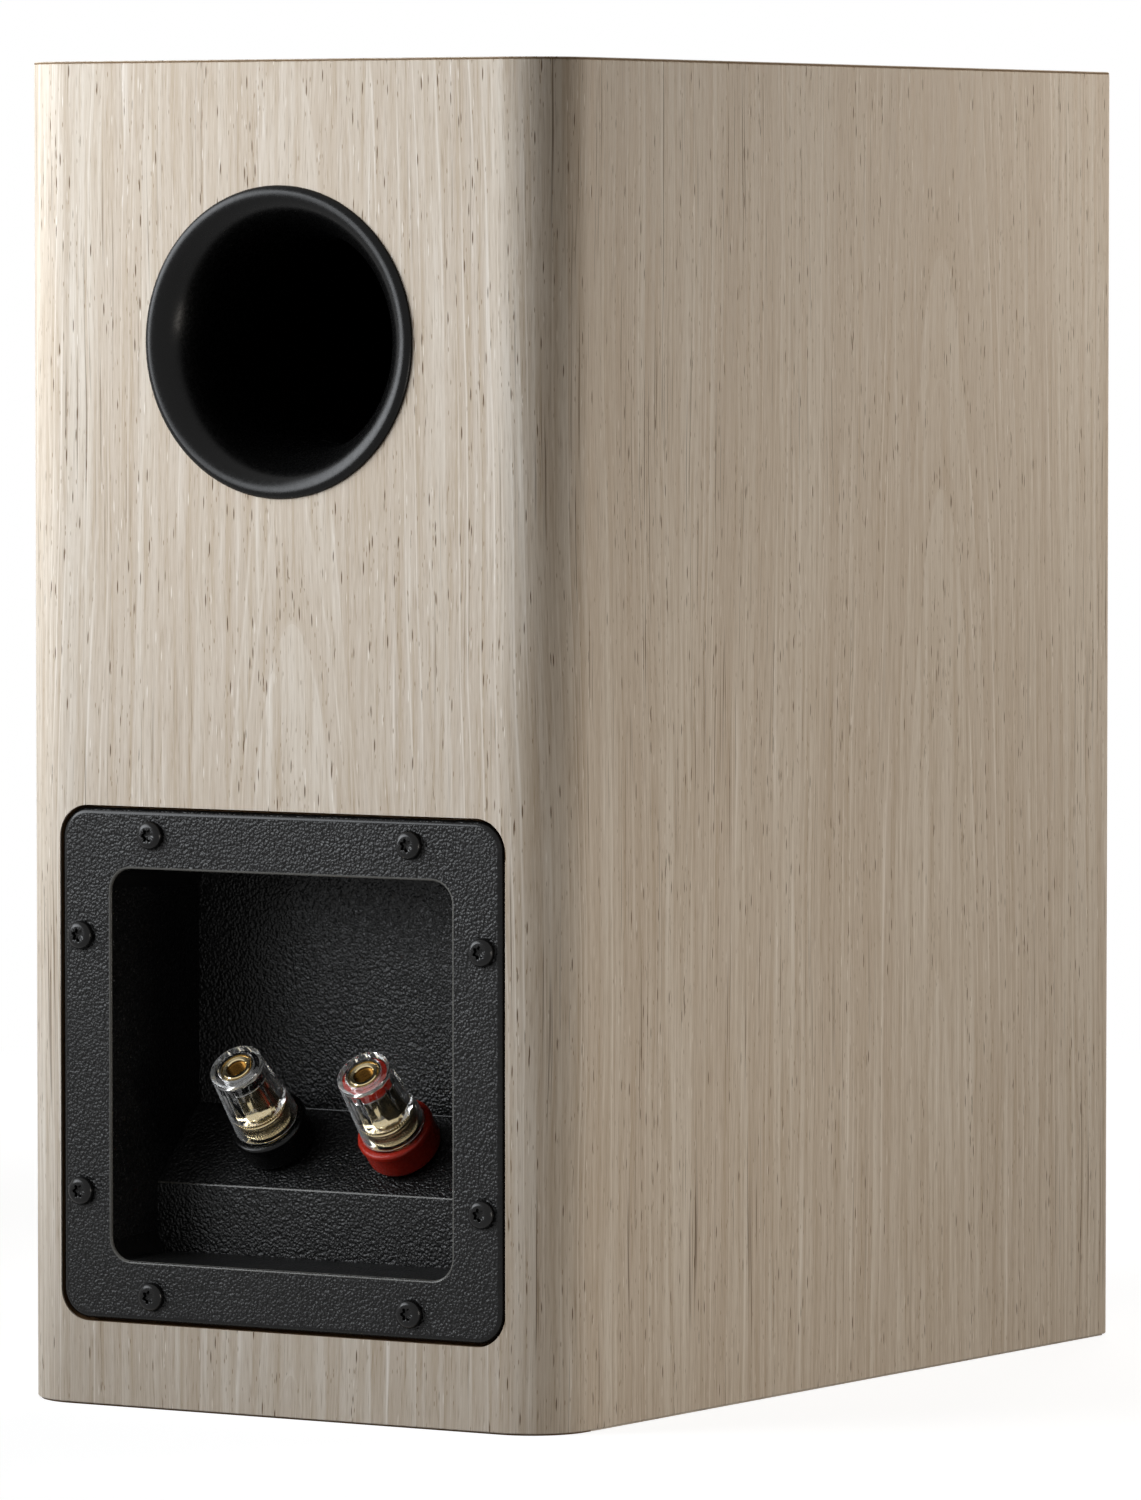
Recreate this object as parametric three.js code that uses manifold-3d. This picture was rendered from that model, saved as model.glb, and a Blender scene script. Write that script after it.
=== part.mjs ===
// Two-way bookshelf loudspeaker with a rear reflex port and a recessed terminal cup.
// Millimetres, +Z up. The origin is the middle of the underside, the front baffle faces -Y and the rear +Y.

import * as THREE from 'three';
import { mergeVertices } from 'three/addons/utils/BufferGeometryUtils.js';
import Module from 'manifold-3d';

const wasm = await Module();
wasm.setup();

// ---------------------------------------------------------------- driving dimensions

// Cabinet
const CABINET_HEIGHT = 380;
const CABINET_DEPTH = 300;
const FRONT_WIDTH = 215;
const REAR_WIDTH = 177.5;
const REAR_CORNER_RADIUS = 19;
const FRONT_EDGE_RADIUS = 3.5;
const BAFFLE_THICKNESS = 22;
const REAR_BOARD_LAND = 0.9;
const SIDE_BOARD_THICKNESS = 18;
const TOP_BOARD_THICKNESS = 18;
const BOTTOM_BOARD_THICKNESS = 18;
const VENEER = 0.6;
const VENEER_LIFT = 0.5;

// Window brace between the side boards
const BRACE_Y = -37;
const BRACE_THICKNESS = 15;
const BRACE_WINDOW_WIDTH = 100;
const BRACE_WINDOW_RADIUS = 14;
const BRACE_RAIL = 36;
const BRACE_RAIL_Z = 200;

// Damping foam on the side boards
const FOAM_THICKNESS = 18;
const FOAM_TOP_GAP = 24.4;
const FOAM_CROSSOVER_GAP = 2;
const FOAM_CUP_GAP = 9;
const FOAM_LENGTH = 92;

// Reflex port
const PORT_BELOW_TOP = 78.7;
const PORT_LIP_RADIUS = 43.7;
const PORT_LIP_PROUD = 1.6;
const PORT_BODY_RADIUS = 39.6;
const PORT_BORE_RADIUS = 29;
const PORT_FLARE_DEPTH = 34;
const PORT_LENGTH = 142;
const PORT_WALL = 2.5;
const PORT_SOCKET = 10;
const PORT_INNER_RADIUS = 38;
const PORT_INNER_FLARE = 16;

// Terminal cup
const PLATE_SIDE_BORDER = 16.35;
const PLATE_END_BORDER = 16.95;
const PLATE_RADIUS = 8.5;
const PLATE_THICKNESS = 4;
const PLATE_EDGE = 1.6;
const PLATE_Z = 97.2;
const REBATE_GAP = 0.8;
const MOUTH_WIDTH = 112.2;
const MOUTH_HEIGHT = 111;
const MOUTH_RADIUS = 6.5;
const MOUTH_DRAFT = 1.6;
const LEDGE_DEPTH = 22.8;
const LEDGE_HEIGHT = 20.3;
const SHELF_FRONT_MARGIN = 4.9;
const SHELF_BACK_MARGIN = 2.1;
const CUP_WALL = 3;

// Cup screws, as distances from the middle of the plate and in from its edges
const SCREW_NEAR = 42.6;
const SCREW_END_INSET = 7.25;
const SCREW_SIDE_NEAR = 36.3;
const SCREW_SIDE_INSET = 6.45;
const SCREW_HEAD_RADIUS = 4.1;
const SCREW_HEAD_HEIGHT = 2.3;
const SCREW_SHAFT_RADIUS = 1.7;
const SCREW_LENGTH = 18;
const PILOT_RELIEF = 0.9;
const TORX_RADIUS = 1.75;
const TORX_DEPTH = 1.3;

// Binding posts, measured along the post from the surface of the shelf
const POST_SPACING = 42;
const POST_BASE_WALL = 2.1;
const POST_BASE_HEIGHT = 10.2;
const POST_RECESS_GAP = 0.5;
const POST_RECESS_DEPTH = 2.5;
const POST_SPIGOT_RADIUS = 5.6;
const STUD_RADIUS = 3.6;
const STUD_LENGTH = 42.5;
const STUD_TAIL = 15;
const STUD_FLANGE_RADIUS = 8.2;
const STUD_FLANGE_THICKNESS = 1.3;
const SOCKET_RADIUS = 2.05;
const SOCKET_DEPTH = 20;
const WASHER_RADIUS = 8.7;
const WASHER_THICKNESS = 0.9;
const CAP_LENGTH = 23;
const CAP_TOP_RADIUS = 8;
const CAP_BOTTOM_RADIUS = 9.6;
const CAP_FLUTES = 18;
const CAP_FLUTE_DEPTH = 0.5;
const CAP_COLLAR_HEIGHT = 1.5;
const INSERT_NECK_RADIUS = 5.1;
const INSERT_STEP = 0.4;
const INSERT_SKIRT_RADIUS = 8.1;
const INSERT_SKIRT_HEIGHT = 6.8;
const INSERT_SPLINES = 14;
const INSERT_SPLINE_DEPTH = 0.5;
const MARKER_RADIUS = 6.7;
const MARKER_HEIGHT = 3;
const MARKER_COVER = 2.1;
const NUT_FLATS = 12;
const NUT_THICKNESS = 5;

// Woofer, measured back from the face of the baffle
const WOOFER_Z = 122;
const WOOFER_RADIUS = 89;
const WOOFER_FLANGE = 6.5;
const BASKET_WALL = 3;
const BASKET_LEGS = 6;
const BASKET_WINDOW_ANGLE = 42;
const SPIDER_DEPTH = 41;
const SPIDER_RADIUS = 54;
const SPIDER_FOLDS = 4;
const BASKET_DEPTH = 56;
const CONE_RADIUS = 63.5;
const CONE_DEPTH = 21;
const CONE_THICKNESS = 1;
const SURROUND_ROLL = 4.4;
const SURROUND_THICKNESS = 0.8;
const SURROUND_LAND = 3.2;
const DUST_CAP_RADIUS = 29;
const DUST_CAP_HEIGHT = 9;
const WOOFER_COIL_RADIUS = 18.6;
const FORMER_THICKNESS = 0.7;
const WINDING_THICKNESS = 0.8;
const WINDING_LENGTH = 13;
const WOOFER_PLATE_RADIUS = 48;
const WOOFER_PLATE_THICKNESS = 6;
const WOOFER_MAGNET_RADIUS = 52;
const WOOFER_MAGNET_THICKNESS = 18;
const WOOFER_YOKE_THICKNESS = 6;
const WOOFER_VENT_RADIUS = 6;

// Tweeter, measured back from the face of the baffle
const DRIVER_GAP = 17;
const TWEETER_RADIUS = 52;
const TWEETER_FLANGE = 5;
const TWEETER_BOSS_WALL = 3.5;
const WAVEGUIDE_RADIUS = 34;
const DOME_RADIUS = 14;
const DOME_HEIGHT = 4.6;
const DOME_DEPTH = 6;
const DOME_THICKNESS = 0.5;
const TWEETER_ROLL = 1.8;
const TWEETER_MOTOR_RADIUS = 34;
const TWEETER_MOTOR_DEPTH = 19;
const TWEETER_CHAMBER_DEPTH = 38;
const TWEETER_CHAMBER_WALL = 2;

// Crossover on the bottom board
const CROSSOVER_WIDTH = 116;
const CROSSOVER_LENGTH = 84;
const CROSSOVER_THICKNESS = 6;
const CROSSOVER_Y = 32;
const WOOFER_INDUCTOR_RADIUS = 30;
const WOOFER_INDUCTOR_HEIGHT = 26;
const TWEETER_INDUCTOR_RADIUS = 16;
const TWEETER_INDUCTOR_HEIGHT = 15;
const CAPACITOR_RADIUS = 13;
const CAPACITOR_LENGTH = 44;
const RESISTOR_LENGTH = 48;
const RESISTOR_SIDE = 10;
const CAPACITOR_PLACE = [30, 14];
const WOOFER_INDUCTOR_PLACE = [-24, -10];
const TWEETER_INDUCTOR_PLACE = [36, -23];
const RESISTOR_X = -28;
const RESISTOR_GAP = 1;

// Leads
const INPUT_LEAD_RADIUS = 1.6;
const DRIVER_LEAD_RADIUS = 2.2;
const LEAD_RISE = 8;
const WOOFER_LEAD_START = [-50, -4];
const WOOFER_LEAD_BENDS = [[-50, -10, 48], [-46, -30, 66]];
const WOOFER_LEAD_RUN = [-44.5, -60];
const TWEETER_LEAD_START = [51, -4];
const TWEETER_LEAD_BENDS = [
  [53, -11, 62], [53, -16, 130], [50, -18, 200], [44, -29, 240], [37, -46, 262], [22, -66, 276],
];
const TWEETER_LEAD_END_X = 13;

// Fits
const CLEARANCE = 0.3;

// Facets
const PORT_STEPS = 28;
const DRIVER_STEPS = 24;
const POST_STEPS = 16;
const INNER_STEPS = 16;
const HOLE_STEPS = 6;
const CORNER_STEPS = 3;
const PLAN_STEPS = 6;

// ---------------------------------------------------------------- derived places

const FRONT_Y = -CABINET_DEPTH / 2;
const REAR_Y = CABINET_DEPTH / 2;
const SIDE_SLOPE = (FRONT_WIDTH - REAR_WIDTH) / 2 / CABINET_DEPTH;
const SIDE_STRETCH = Math.hypot(1, SIDE_SLOPE);
const SKIN = VENEER + CLEARANCE;
const BAFFLE_BACK_Y = FRONT_Y + BAFFLE_THICKNESS;
const REAR_BOARD_THICKNESS = REAR_CORNER_RADIUS - SKIN + REAR_BOARD_LAND;
const REAR_BOARD_Y = REAR_Y - SKIN - REAR_BOARD_THICKNESS;
const BOARD_TOP_Z = CABINET_HEIGHT - VENEER;
const INNER_TOP_Z = BOARD_TOP_Z - TOP_BOARD_THICKNESS;
const CROSSOVER_TOP = BOTTOM_BOARD_THICKNESS + CROSSOVER_THICKNESS;
const PORT_Z = CABINET_HEIGHT - PORT_BELOW_TOP;
const PLATE_WIDTH = MOUTH_WIDTH + 2 * PLATE_SIDE_BORDER;
const PLATE_HEIGHT = MOUTH_HEIGHT + 2 * PLATE_END_BORDER;
const SCREW_FAR = PLATE_HEIGHT / 2 - SCREW_END_INSET;
const SCREW_SIDE_FAR = PLATE_WIDTH / 2 - SCREW_SIDE_INSET;
const PLATE_BACK_Y = REAR_Y - PLATE_THICKNESS;
const POST_RECESS_RADIUS = Math.max(WASHER_RADIUS, STUD_FLANGE_RADIUS) + POST_RECESS_GAP;
const POST_BASE_RADIUS = POST_RECESS_RADIUS + POST_BASE_WALL;
const INSERT_BODY_RADIUS = INSERT_NECK_RADIUS + INSERT_STEP;
const POST_TILT = Math.PI / 4;
const POST_SETBACK = (SHELF_FRONT_MARGIN + POST_BASE_RADIUS) * Math.cos(POST_TILT);
const SHELF_RISE = POST_SETBACK + (POST_BASE_RADIUS + SHELF_BACK_MARGIN) * Math.cos(POST_TILT);
const SHELF_Z = -MOUTH_HEIGHT / 2 + LEDGE_HEIGHT;
const RECESS_DEPTH = LEDGE_DEPTH + SHELF_RISE;
const POST_DEPTH = LEDGE_DEPTH + POST_SETBACK;
const POST_Z = SHELF_Z + POST_SETBACK;
const PILOT_RADIUS = SCREW_SHAFT_RADIUS + 2 * CLEARANCE;
const BASKET_RADIUS = CONE_RADIUS + 2 * SURROUND_ROLL + SURROUND_LAND;
const TWEETER_BOSS_RADIUS = TWEETER_MOTOR_RADIUS + TWEETER_BOSS_WALL;
const TWEETER_Z = WOOFER_Z + WOOFER_RADIUS + DRIVER_GAP + TWEETER_RADIUS;
const TURN = 2 * Math.PI;

// Half the cabinet's width at a depth y, to the outside of the veneer less an inset square to the side.
function halfWidth(y, inset = 0) {
  return FRONT_WIDTH / 2 - SIDE_SLOPE * (y - FRONT_Y) - inset * SIDE_STRETCH;
}

// ---------------------------------------------------------------- geometry helpers

const MERGE_DISTANCE = 1e-4;

function signedVolume(position, index) {
  const a = new THREE.Vector3();
  const b = new THREE.Vector3();
  const c = new THREE.Vector3();
  let volume = 0;
  for (let i = 0; i < index.length; i += 3) {
    a.fromBufferAttribute(position, index[i]);
    b.fromBufferAttribute(position, index[i + 1]);
    c.fromBufferAttribute(position, index[i + 2]);
    volume += a.dot(b.cross(c)) / 6;
  }
  return volume;
}

// Merges shared vertices, drops collapsed triangles and turns every face outwards.
function closed(geometry) {
  const bare = new THREE.BufferGeometry();
  bare.setAttribute('position', geometry.getAttribute('position'));
  bare.setIndex(geometry.getIndex());
  const merged = mergeVertices(bare, MERGE_DISTANCE);
  const source = merged.getIndex().array;
  const index = [];
  for (let i = 0; i < source.length; i += 3) {
    const [a, b, c] = [source[i], source[i + 1], source[i + 2]];
    if (a !== b && b !== c && c !== a) index.push(a, b, c);
  }
  if (signedVolume(merged.getAttribute('position'), index) < 0) index.reverse();
  merged.setIndex(index);
  return merged;
}

function toSolid(geometry) {
  const ready = closed(geometry);
  return new wasm.Manifold(new wasm.Mesh({
    numProp: 3,
    vertProperties: new Float32Array(ready.getAttribute('position').array),
    triVerts: new Uint32Array(ready.getIndex().array),
  }));
}

function toGeometry(solid) {
  const mesh = solid.getMesh();
  const geometry = new THREE.BufferGeometry();
  geometry.setAttribute('position', new THREE.BufferAttribute(new Float32Array(mesh.vertProperties), 3));
  geometry.setIndex(Array.from(mesh.triVerts));
  return geometry;
}

function cut(geometry, ...tools) {
  return toGeometry(tools.reduce((solid, tool) => solid.subtract(toSolid(tool)), toSolid(geometry)));
}

function join(geometry, ...others) {
  return toGeometry(others.reduce((solid, other) => solid.add(toSolid(other)), toSolid(geometry)));
}

function common(geometry, ...others) {
  return toGeometry(others.reduce((solid, other) => solid.intersect(toSolid(other)), toSolid(geometry)));
}

// Points of an outline whose corners are rounded: each corner is [x, y, radius].
function roundedOutline(corners, steps = CORNER_STEPS) {
  const points = [];
  corners.forEach(([x, y, radius], i) => {
    const corner = new THREE.Vector2(x, y);
    if (!radius) {
      points.push(corner);
      return;
    }
    const before = corners[(i + corners.length - 1) % corners.length];
    const after = corners[(i + 1) % corners.length];
    const back = new THREE.Vector2(before[0] - x, before[1] - y).normalize();
    const ahead = new THREE.Vector2(after[0] - x, after[1] - y).normalize();
    const half = Math.acos(back.dot(ahead)) / 2;
    const middle = back.clone().add(ahead).normalize();
    const centre = corner.clone().addScaledVector(middle, radius / Math.sin(half));
    const start = corner.clone().addScaledVector(back, radius / Math.tan(half)).sub(centre);
    const sweep = Math.PI - 2 * half;
    const turn = Math.sign(ahead.cross(back)) * sweep;
    for (let s = 0; s <= steps; s += 1) {
      points.push(start.clone().rotateAround(new THREE.Vector2(), (turn * s) / steps).add(centre));
    }
  });
  return points;
}

function roundedRectangle(width, height, radius, steps) {
  const x = width / 2;
  const y = height / 2;
  return roundedOutline([[-x, -y, radius], [x, -y, radius], [x, y, radius], [-x, y, radius]], steps);
}

// Extrusions of an outline. Upright ones take (x, y), those along Y take (x, z), those along X take (y, z).
function extrude(points, length) {
  return new THREE.ExtrudeGeometry(new THREE.Shape(points), { depth: length, bevelEnabled: false });
}

function extrudeUp(points, from, to) {
  return extrude(points, to - from).translate(0, 0, from);
}

function extrudeBack(points, from, to) {
  return extrude(points, to - from).rotateX(Math.PI / 2).translate(0, to, 0);
}

function extrudeAcross(points, from, to) {
  const basis = new THREE.Matrix4().makeBasis(
    new THREE.Vector3(0, 1, 0),
    new THREE.Vector3(0, 0, 1),
    new THREE.Vector3(1, 0, 0),
  );
  return extrude(points, to - from).applyMatrix4(basis).translate(from, 0, 0);
}

// A solid of revolution about Y from a profile of [radius, y] that closes on itself or on the axis.
function revolve(profile, steps = INNER_STEPS) {
  const points = profile.map(([radius, y]) => new THREE.Vector2(radius, y));
  const first = points[0];
  const last = points[points.length - 1];
  if (first.x > 0 || last.x > 0) points.push(first.clone());
  return closed(new THREE.LatheGeometry(points, steps));
}

function cylinderAlongY(radius, from, to, steps = INNER_STEPS) {
  return new THREE.CylinderGeometry(radius, radius, to - from, steps).translate(0, (from + to) / 2, 0);
}

// A revolved solid with lobes: each profile point is [radius, y, depth of the lobes there].
function revolveWithLobes(profile, lobes, stepsPerLobe) {
  const steps = lobes * stepsPerLobe;
  const rings = profile.length;
  const positions = [];
  const index = [];
  for (let s = 0; s < steps; s += 1) {
    const angle = (s / steps) * TURN;
    profile.forEach(([radius, y, depth = 0]) => {
      const r = radius - depth * (0.5 - 0.5 * Math.cos(lobes * angle));
      positions.push(r * Math.cos(angle), y, r * Math.sin(angle));
    });
    const next = (s + 1) % steps;
    for (let p = 0; p < rings; p += 1) {
      const q = (p + 1) % rings;
      index.push(s * rings + p, s * rings + q, next * rings + q);
      index.push(s * rings + p, next * rings + q, next * rings + p);
    }
  }
  const geometry = new THREE.BufferGeometry();
  geometry.setAttribute('position', new THREE.Float32BufferAttribute(positions, 3));
  geometry.setIndex(index);
  return closed(geometry);
}

// A solid through a row of sections, each a list of [x, z] points at its own y.
function loft(sections) {
  const count = sections[0].points.length;
  const positions = [];
  const index = [];
  sections.forEach(({ y, points }) => points.forEach((p) => positions.push(p.x, y, p.y)));
  for (let s = 0; s < sections.length - 1; s += 1) {
    for (let p = 0; p < count; p += 1) {
      const q = (p + 1) % count;
      const near = s * count;
      const far = near + count;
      index.push(near + p, far + p, far + q, near + p, far + q, near + q);
    }
  }
  const last = (sections.length - 1) * count;
  for (let p = 1; p < count - 1; p += 1) {
    index.push(0, p, p + 1);
    index.push(last, last + p + 1, last + p);
  }
  const geometry = new THREE.BufferGeometry();
  geometry.setAttribute('position', new THREE.Float32BufferAttribute(positions, 3));
  geometry.setIndex(index);
  return closed(geometry);
}

// A round lead of the given radius along a smooth curve through the points.
function lead(points, radius, steps) {
  const curve = new THREE.CatmullRomCurve3(points.map((p) => new THREE.Vector3(...p)));
  const section = new THREE.Shape();
  section.absarc(0, 0, radius, 0, TURN);
  return new THREE.ExtrudeGeometry(section, { steps, curveSegments: 4, extrudePath: curve });
}

function arcPoints(centreR, centreY, radius, from, to, steps) {
  return Array.from({ length: steps + 1 }, (unused, i) => {
    const angle = from + ((to - from) * i) / steps;
    return [centreR + radius * Math.cos(angle), centreY + radius * Math.sin(angle)];
  });
}

// ---------------------------------------------------------------- materials

function finish(color, roughness, metalness = 0, extra = {}) {
  return () => new THREE.MeshStandardMaterial({ color, roughness, metalness, ...extra });
}

const oakVeneer = finish(0xc9bfae, 0.55);
const board = finish(0xa9855c, 0.85);
const satinBlack = finish(0x131313, 0.35);
const grainedBlack = finish(0x1b1b1c, 0.6);
const blackSteel = finish(0x101010, 0.4, 0.6);
const brass = finish(0xb08d4a, 0.25, 1);
const polishedMetal = finish(0xd8d4cb, 0.15, 1);
const clearPlastic = finish(0xf2f2f0, 0.08, 0, { transparent: true, opacity: 0.3 });
const redPlastic = finish(0x9c1d14, 0.3);
const blackPlastic = finish(0x0c0c0c, 0.3);
const rubber = finish(0x161616, 0.7);
const coneMaterial = finish(0x1f1f21, 0.6);
const castAluminium = finish(0x55575a, 0.5, 0.8);
const platedSteel = finish(0x9b9c9e, 0.35, 0.9);
const ferrite = finish(0x2c2c2e, 0.7, 0.1);
const copper = finish(0xb8693c, 0.35, 0.8);
const spiderCloth = finish(0xc7a04d, 0.9);
const silk = finish(0x1a1a1c, 0.75);
const foam = finish(0x4a4a4c, 1);
const circuitBoard = finish(0x8a7350, 0.8);
const capacitorSleeve = finish(0x2d4d7a, 0.4);
const ceramic = finish(0xe6e1d6, 0.7);
const leadSheath = finish(0x202022, 0.6);

// ---------------------------------------------------------------- cabinet

// The cabinet's plan, inset from the veneer's outer face.
function planOutline(inset) {
  const front = FRONT_Y + inset;
  const rear = REAR_Y - inset;
  const frontRadius = FRONT_EDGE_RADIUS - inset;
  const rearRadius = REAR_CORNER_RADIUS - inset;
  return roundedOutline([
    [-halfWidth(front, inset), front, frontRadius],
    [halfWidth(front, inset), front, frontRadius],
    [halfWidth(rear, inset), rear, rearRadius],
    [-halfWidth(rear, inset), rear, rearRadius],
  ], PLAN_STEPS);
}

// The plain plan of a board that spans the cabinet between two depths.
function spanOutline(from, to, inset) {
  return [
    new THREE.Vector2(-halfWidth(from, inset), from),
    new THREE.Vector2(halfWidth(from, inset), from),
    new THREE.Vector2(halfWidth(to, inset), to),
    new THREE.Vector2(-halfWidth(to, inset), to),
  ];
}

const FRONT_FACE_HALF = halfWidth(FRONT_Y) - FRONT_EDGE_RADIUS - CLEARANCE;

function rebateOutline() {
  const gap = REBATE_GAP;
  return roundedRectangle(PLATE_WIDTH + 2 * gap, PLATE_HEIGHT + 2 * gap, PLATE_RADIUS + gap);
}

function atHeight(geometry, z) {
  return geometry.translate(0, 0, z);
}

function portHole(radius) {
  return atHeight(cylinderAlongY(radius, REAR_BOARD_Y - 1, REAR_Y + 1, PORT_STEPS), PORT_Z);
}

function veneerWrap() {
  const outer = extrudeUp(planOutline(0), VENEER_LIFT, BOARD_TOP_Z);
  const inner = extrudeUp(planOutline(VENEER), VENEER_LIFT - 1, BOARD_TOP_Z + 1);
  const gap = FRONT_FACE_HALF + CLEARANCE;
  const frontOpening = extrudeUp([
    new THREE.Vector2(-gap, FRONT_Y - 1),
    new THREE.Vector2(gap, FRONT_Y - 1),
    new THREE.Vector2(gap, BAFFLE_BACK_Y),
    new THREE.Vector2(-gap, BAFFLE_BACK_Y),
  ], VENEER_LIFT - 1, BOARD_TOP_Z + 1);
  const rebate = atHeight(extrudeBack(rebateOutline(), REAR_BOARD_Y, REAR_Y + 1), PLATE_Z);
  return cut(outer, inner, frontOpening, portHole(PORT_BODY_RADIUS + CLEARANCE), rebate);
}

function topVeneer() {
  return extrudeUp(planOutline(0), BOARD_TOP_Z, CABINET_HEIGHT);
}

// The baffle's face stands flush between the veneer's folded front edges.
function frontBaffle() {
  const step = FRONT_Y + SKIN;
  const corner = FRONT_EDGE_RADIUS - SKIN;
  const outline = roundedOutline([
    [-FRONT_FACE_HALF, FRONT_Y, 0],
    [FRONT_FACE_HALF, FRONT_Y, 0],
    [FRONT_FACE_HALF, step, 0],
    [halfWidth(step, SKIN), step, corner],
    [halfWidth(BAFFLE_BACK_Y, SKIN), BAFFLE_BACK_Y, 0],
    [-halfWidth(BAFFLE_BACK_Y, SKIN), BAFFLE_BACK_Y, 0],
    [-halfWidth(step, SKIN), step, corner],
    [-FRONT_FACE_HALF, step, 0],
  ], PLAN_STEPS);
  const hole = (radius, depth, z) => (
    atHeight(cylinderAlongY(radius, FRONT_Y - 1, FRONT_Y + depth, DRIVER_STEPS), z));
  const through = BAFFLE_THICKNESS + 1;
  return cut(
    extrudeUp(outline, 0, BOARD_TOP_Z),
    hole(WOOFER_RADIUS + CLEARANCE, WOOFER_FLANGE, WOOFER_Z),
    hole(BASKET_RADIUS + 1, through, WOOFER_Z),
    hole(TWEETER_RADIUS + CLEARANCE, TWEETER_FLANGE, TWEETER_Z),
    hole(TWEETER_BOSS_RADIUS + 1, through, TWEETER_Z),
  );
}

function sideBoard(side) {
  const inner = SKIN + SIDE_BOARD_THICKNESS;
  const outline = [
    new THREE.Vector2(side * halfWidth(BAFFLE_BACK_Y, SKIN), BAFFLE_BACK_Y),
    new THREE.Vector2(side * halfWidth(REAR_BOARD_Y, SKIN), REAR_BOARD_Y),
    new THREE.Vector2(side * halfWidth(REAR_BOARD_Y, inner), REAR_BOARD_Y),
    new THREE.Vector2(side * halfWidth(BAFFLE_BACK_Y, inner), BAFFLE_BACK_Y),
  ];
  return extrudeUp(outline, BOTTOM_BOARD_THICKNESS, INNER_TOP_Z);
}

function rearBoard() {
  const rear = REAR_Y - SKIN;
  const radius = REAR_CORNER_RADIUS - SKIN;
  const outline = roundedOutline([
    [-halfWidth(REAR_BOARD_Y, SKIN), REAR_BOARD_Y, 0],
    [halfWidth(REAR_BOARD_Y, SKIN), REAR_BOARD_Y, 0],
    [halfWidth(rear, SKIN), rear, radius],
    [-halfWidth(rear, SKIN), rear, radius],
  ], PLAN_STEPS);
  const rebate = atHeight(extrudeBack(rebateOutline(), PLATE_BACK_Y, REAR_Y + 1), PLATE_Z);
  const room = 2 * (CUP_WALL + 1);
  const cutOut = roundedRectangle(MOUTH_WIDTH + room, MOUTH_HEIGHT + room, MOUTH_RADIUS + room / 2);
  const pocket = atHeight(extrudeBack(cutOut, REAR_BOARD_Y - 1, REAR_Y), PLATE_Z);
  const pilots = screwPlaces().map(([x, z]) => (
    cylinderAlongY(PILOT_RADIUS, REAR_Y - SCREW_LENGTH - PILOT_RELIEF, REAR_Y, HOLE_STEPS)
      .translate(x, 0, PLATE_Z + z)));
  const body = extrudeUp(outline, 0, BOARD_TOP_Z);
  return cut(body, rebate, pocket, portHole(PORT_BODY_RADIUS + CLEARANCE), ...pilots);
}

function windowBrace() {
  const inset = SKIN + SIDE_BOARD_THICKNESS + CLEARANCE;
  const front = BRACE_Y - BRACE_THICKNESS / 2;
  const back = BRACE_Y + BRACE_THICKNESS / 2;
  const body = extrudeUp(spanOutline(front, back, inset), BOTTOM_BOARD_THICKNESS, INNER_TOP_Z);
  const windows = braceWindows().map(([low, high]) => {
    const outline = roundedRectangle(BRACE_WINDOW_WIDTH, high - low, BRACE_WINDOW_RADIUS, 4);
    return atHeight(extrudeBack(outline, front - 1, back + 1), (low + high) / 2);
  });
  return cut(body, ...windows);
}

// The lowest and highest edges of the two windows.
function braceWindows() {
  return [
    [BOTTOM_BOARD_THICKNESS + BRACE_RAIL, BRACE_RAIL_Z - BRACE_RAIL / 2],
    [BRACE_RAIL_Z + BRACE_RAIL / 2, INNER_TOP_Z - BRACE_RAIL],
  ];
}

function dampingFoam(side) {
  const to = REAR_Y - RECESS_DEPTH - CUP_WALL - FOAM_CUP_GAP;
  const from = to - FOAM_LENGTH;
  const outer = SKIN + SIDE_BOARD_THICKNESS + CLEARANCE;
  const inner = outer + FOAM_THICKNESS;
  const outline = [
    new THREE.Vector2(side * halfWidth(from, outer), from),
    new THREE.Vector2(side * halfWidth(to, outer), to),
    new THREE.Vector2(side * halfWidth(to, inner), to),
    new THREE.Vector2(side * halfWidth(from, inner), from),
  ];
  const tallest = Math.max(WOOFER_INDUCTOR_HEIGHT, 2 * CAPACITOR_RADIUS);
  return extrudeUp(outline, CROSSOVER_TOP + tallest + FOAM_CROSSOVER_GAP, INNER_TOP_Z - FOAM_TOP_GAP);
}

// ---------------------------------------------------------------- reflex port

// The port's parts are revolved about an axis that starts at the rear face and points out of the cabinet.

function portFlare() {
  const bore = PORT_BORE_RADIUS;
  const rise = PORT_LIP_RADIUS - 2 - bore;
  const mouth = Array.from({ length: 6 }, (unused, i) => {
    const angle = (i / 5) * (Math.PI / 2);
    const depth = PORT_FLARE_DEPTH + PORT_LIP_PROUD;
    return [
      bore + rise * (1 - Math.cos(angle)),
      -PORT_FLARE_DEPTH + depth * Math.sin(angle),
    ];
  });
  const back = -PORT_FLARE_DEPTH - PORT_SOCKET;
  const socket = bore + PORT_WALL + CLEARANCE;
  return revolve([
    ...mouth,
    [PORT_LIP_RADIUS, PORT_LIP_PROUD * 0.4],
    [PORT_LIP_RADIUS, 0],
    [PORT_BODY_RADIUS, 0],
    [PORT_BODY_RADIUS, -REAR_BOARD_THICKNESS],
    [socket + PORT_WALL, -PORT_FLARE_DEPTH],
    [socket + PORT_WALL, back],
    [socket, back],
    [socket, -PORT_FLARE_DEPTH - 2],
    [bore, -PORT_FLARE_DEPTH - 2],
  ], PORT_STEPS);
}

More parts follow.
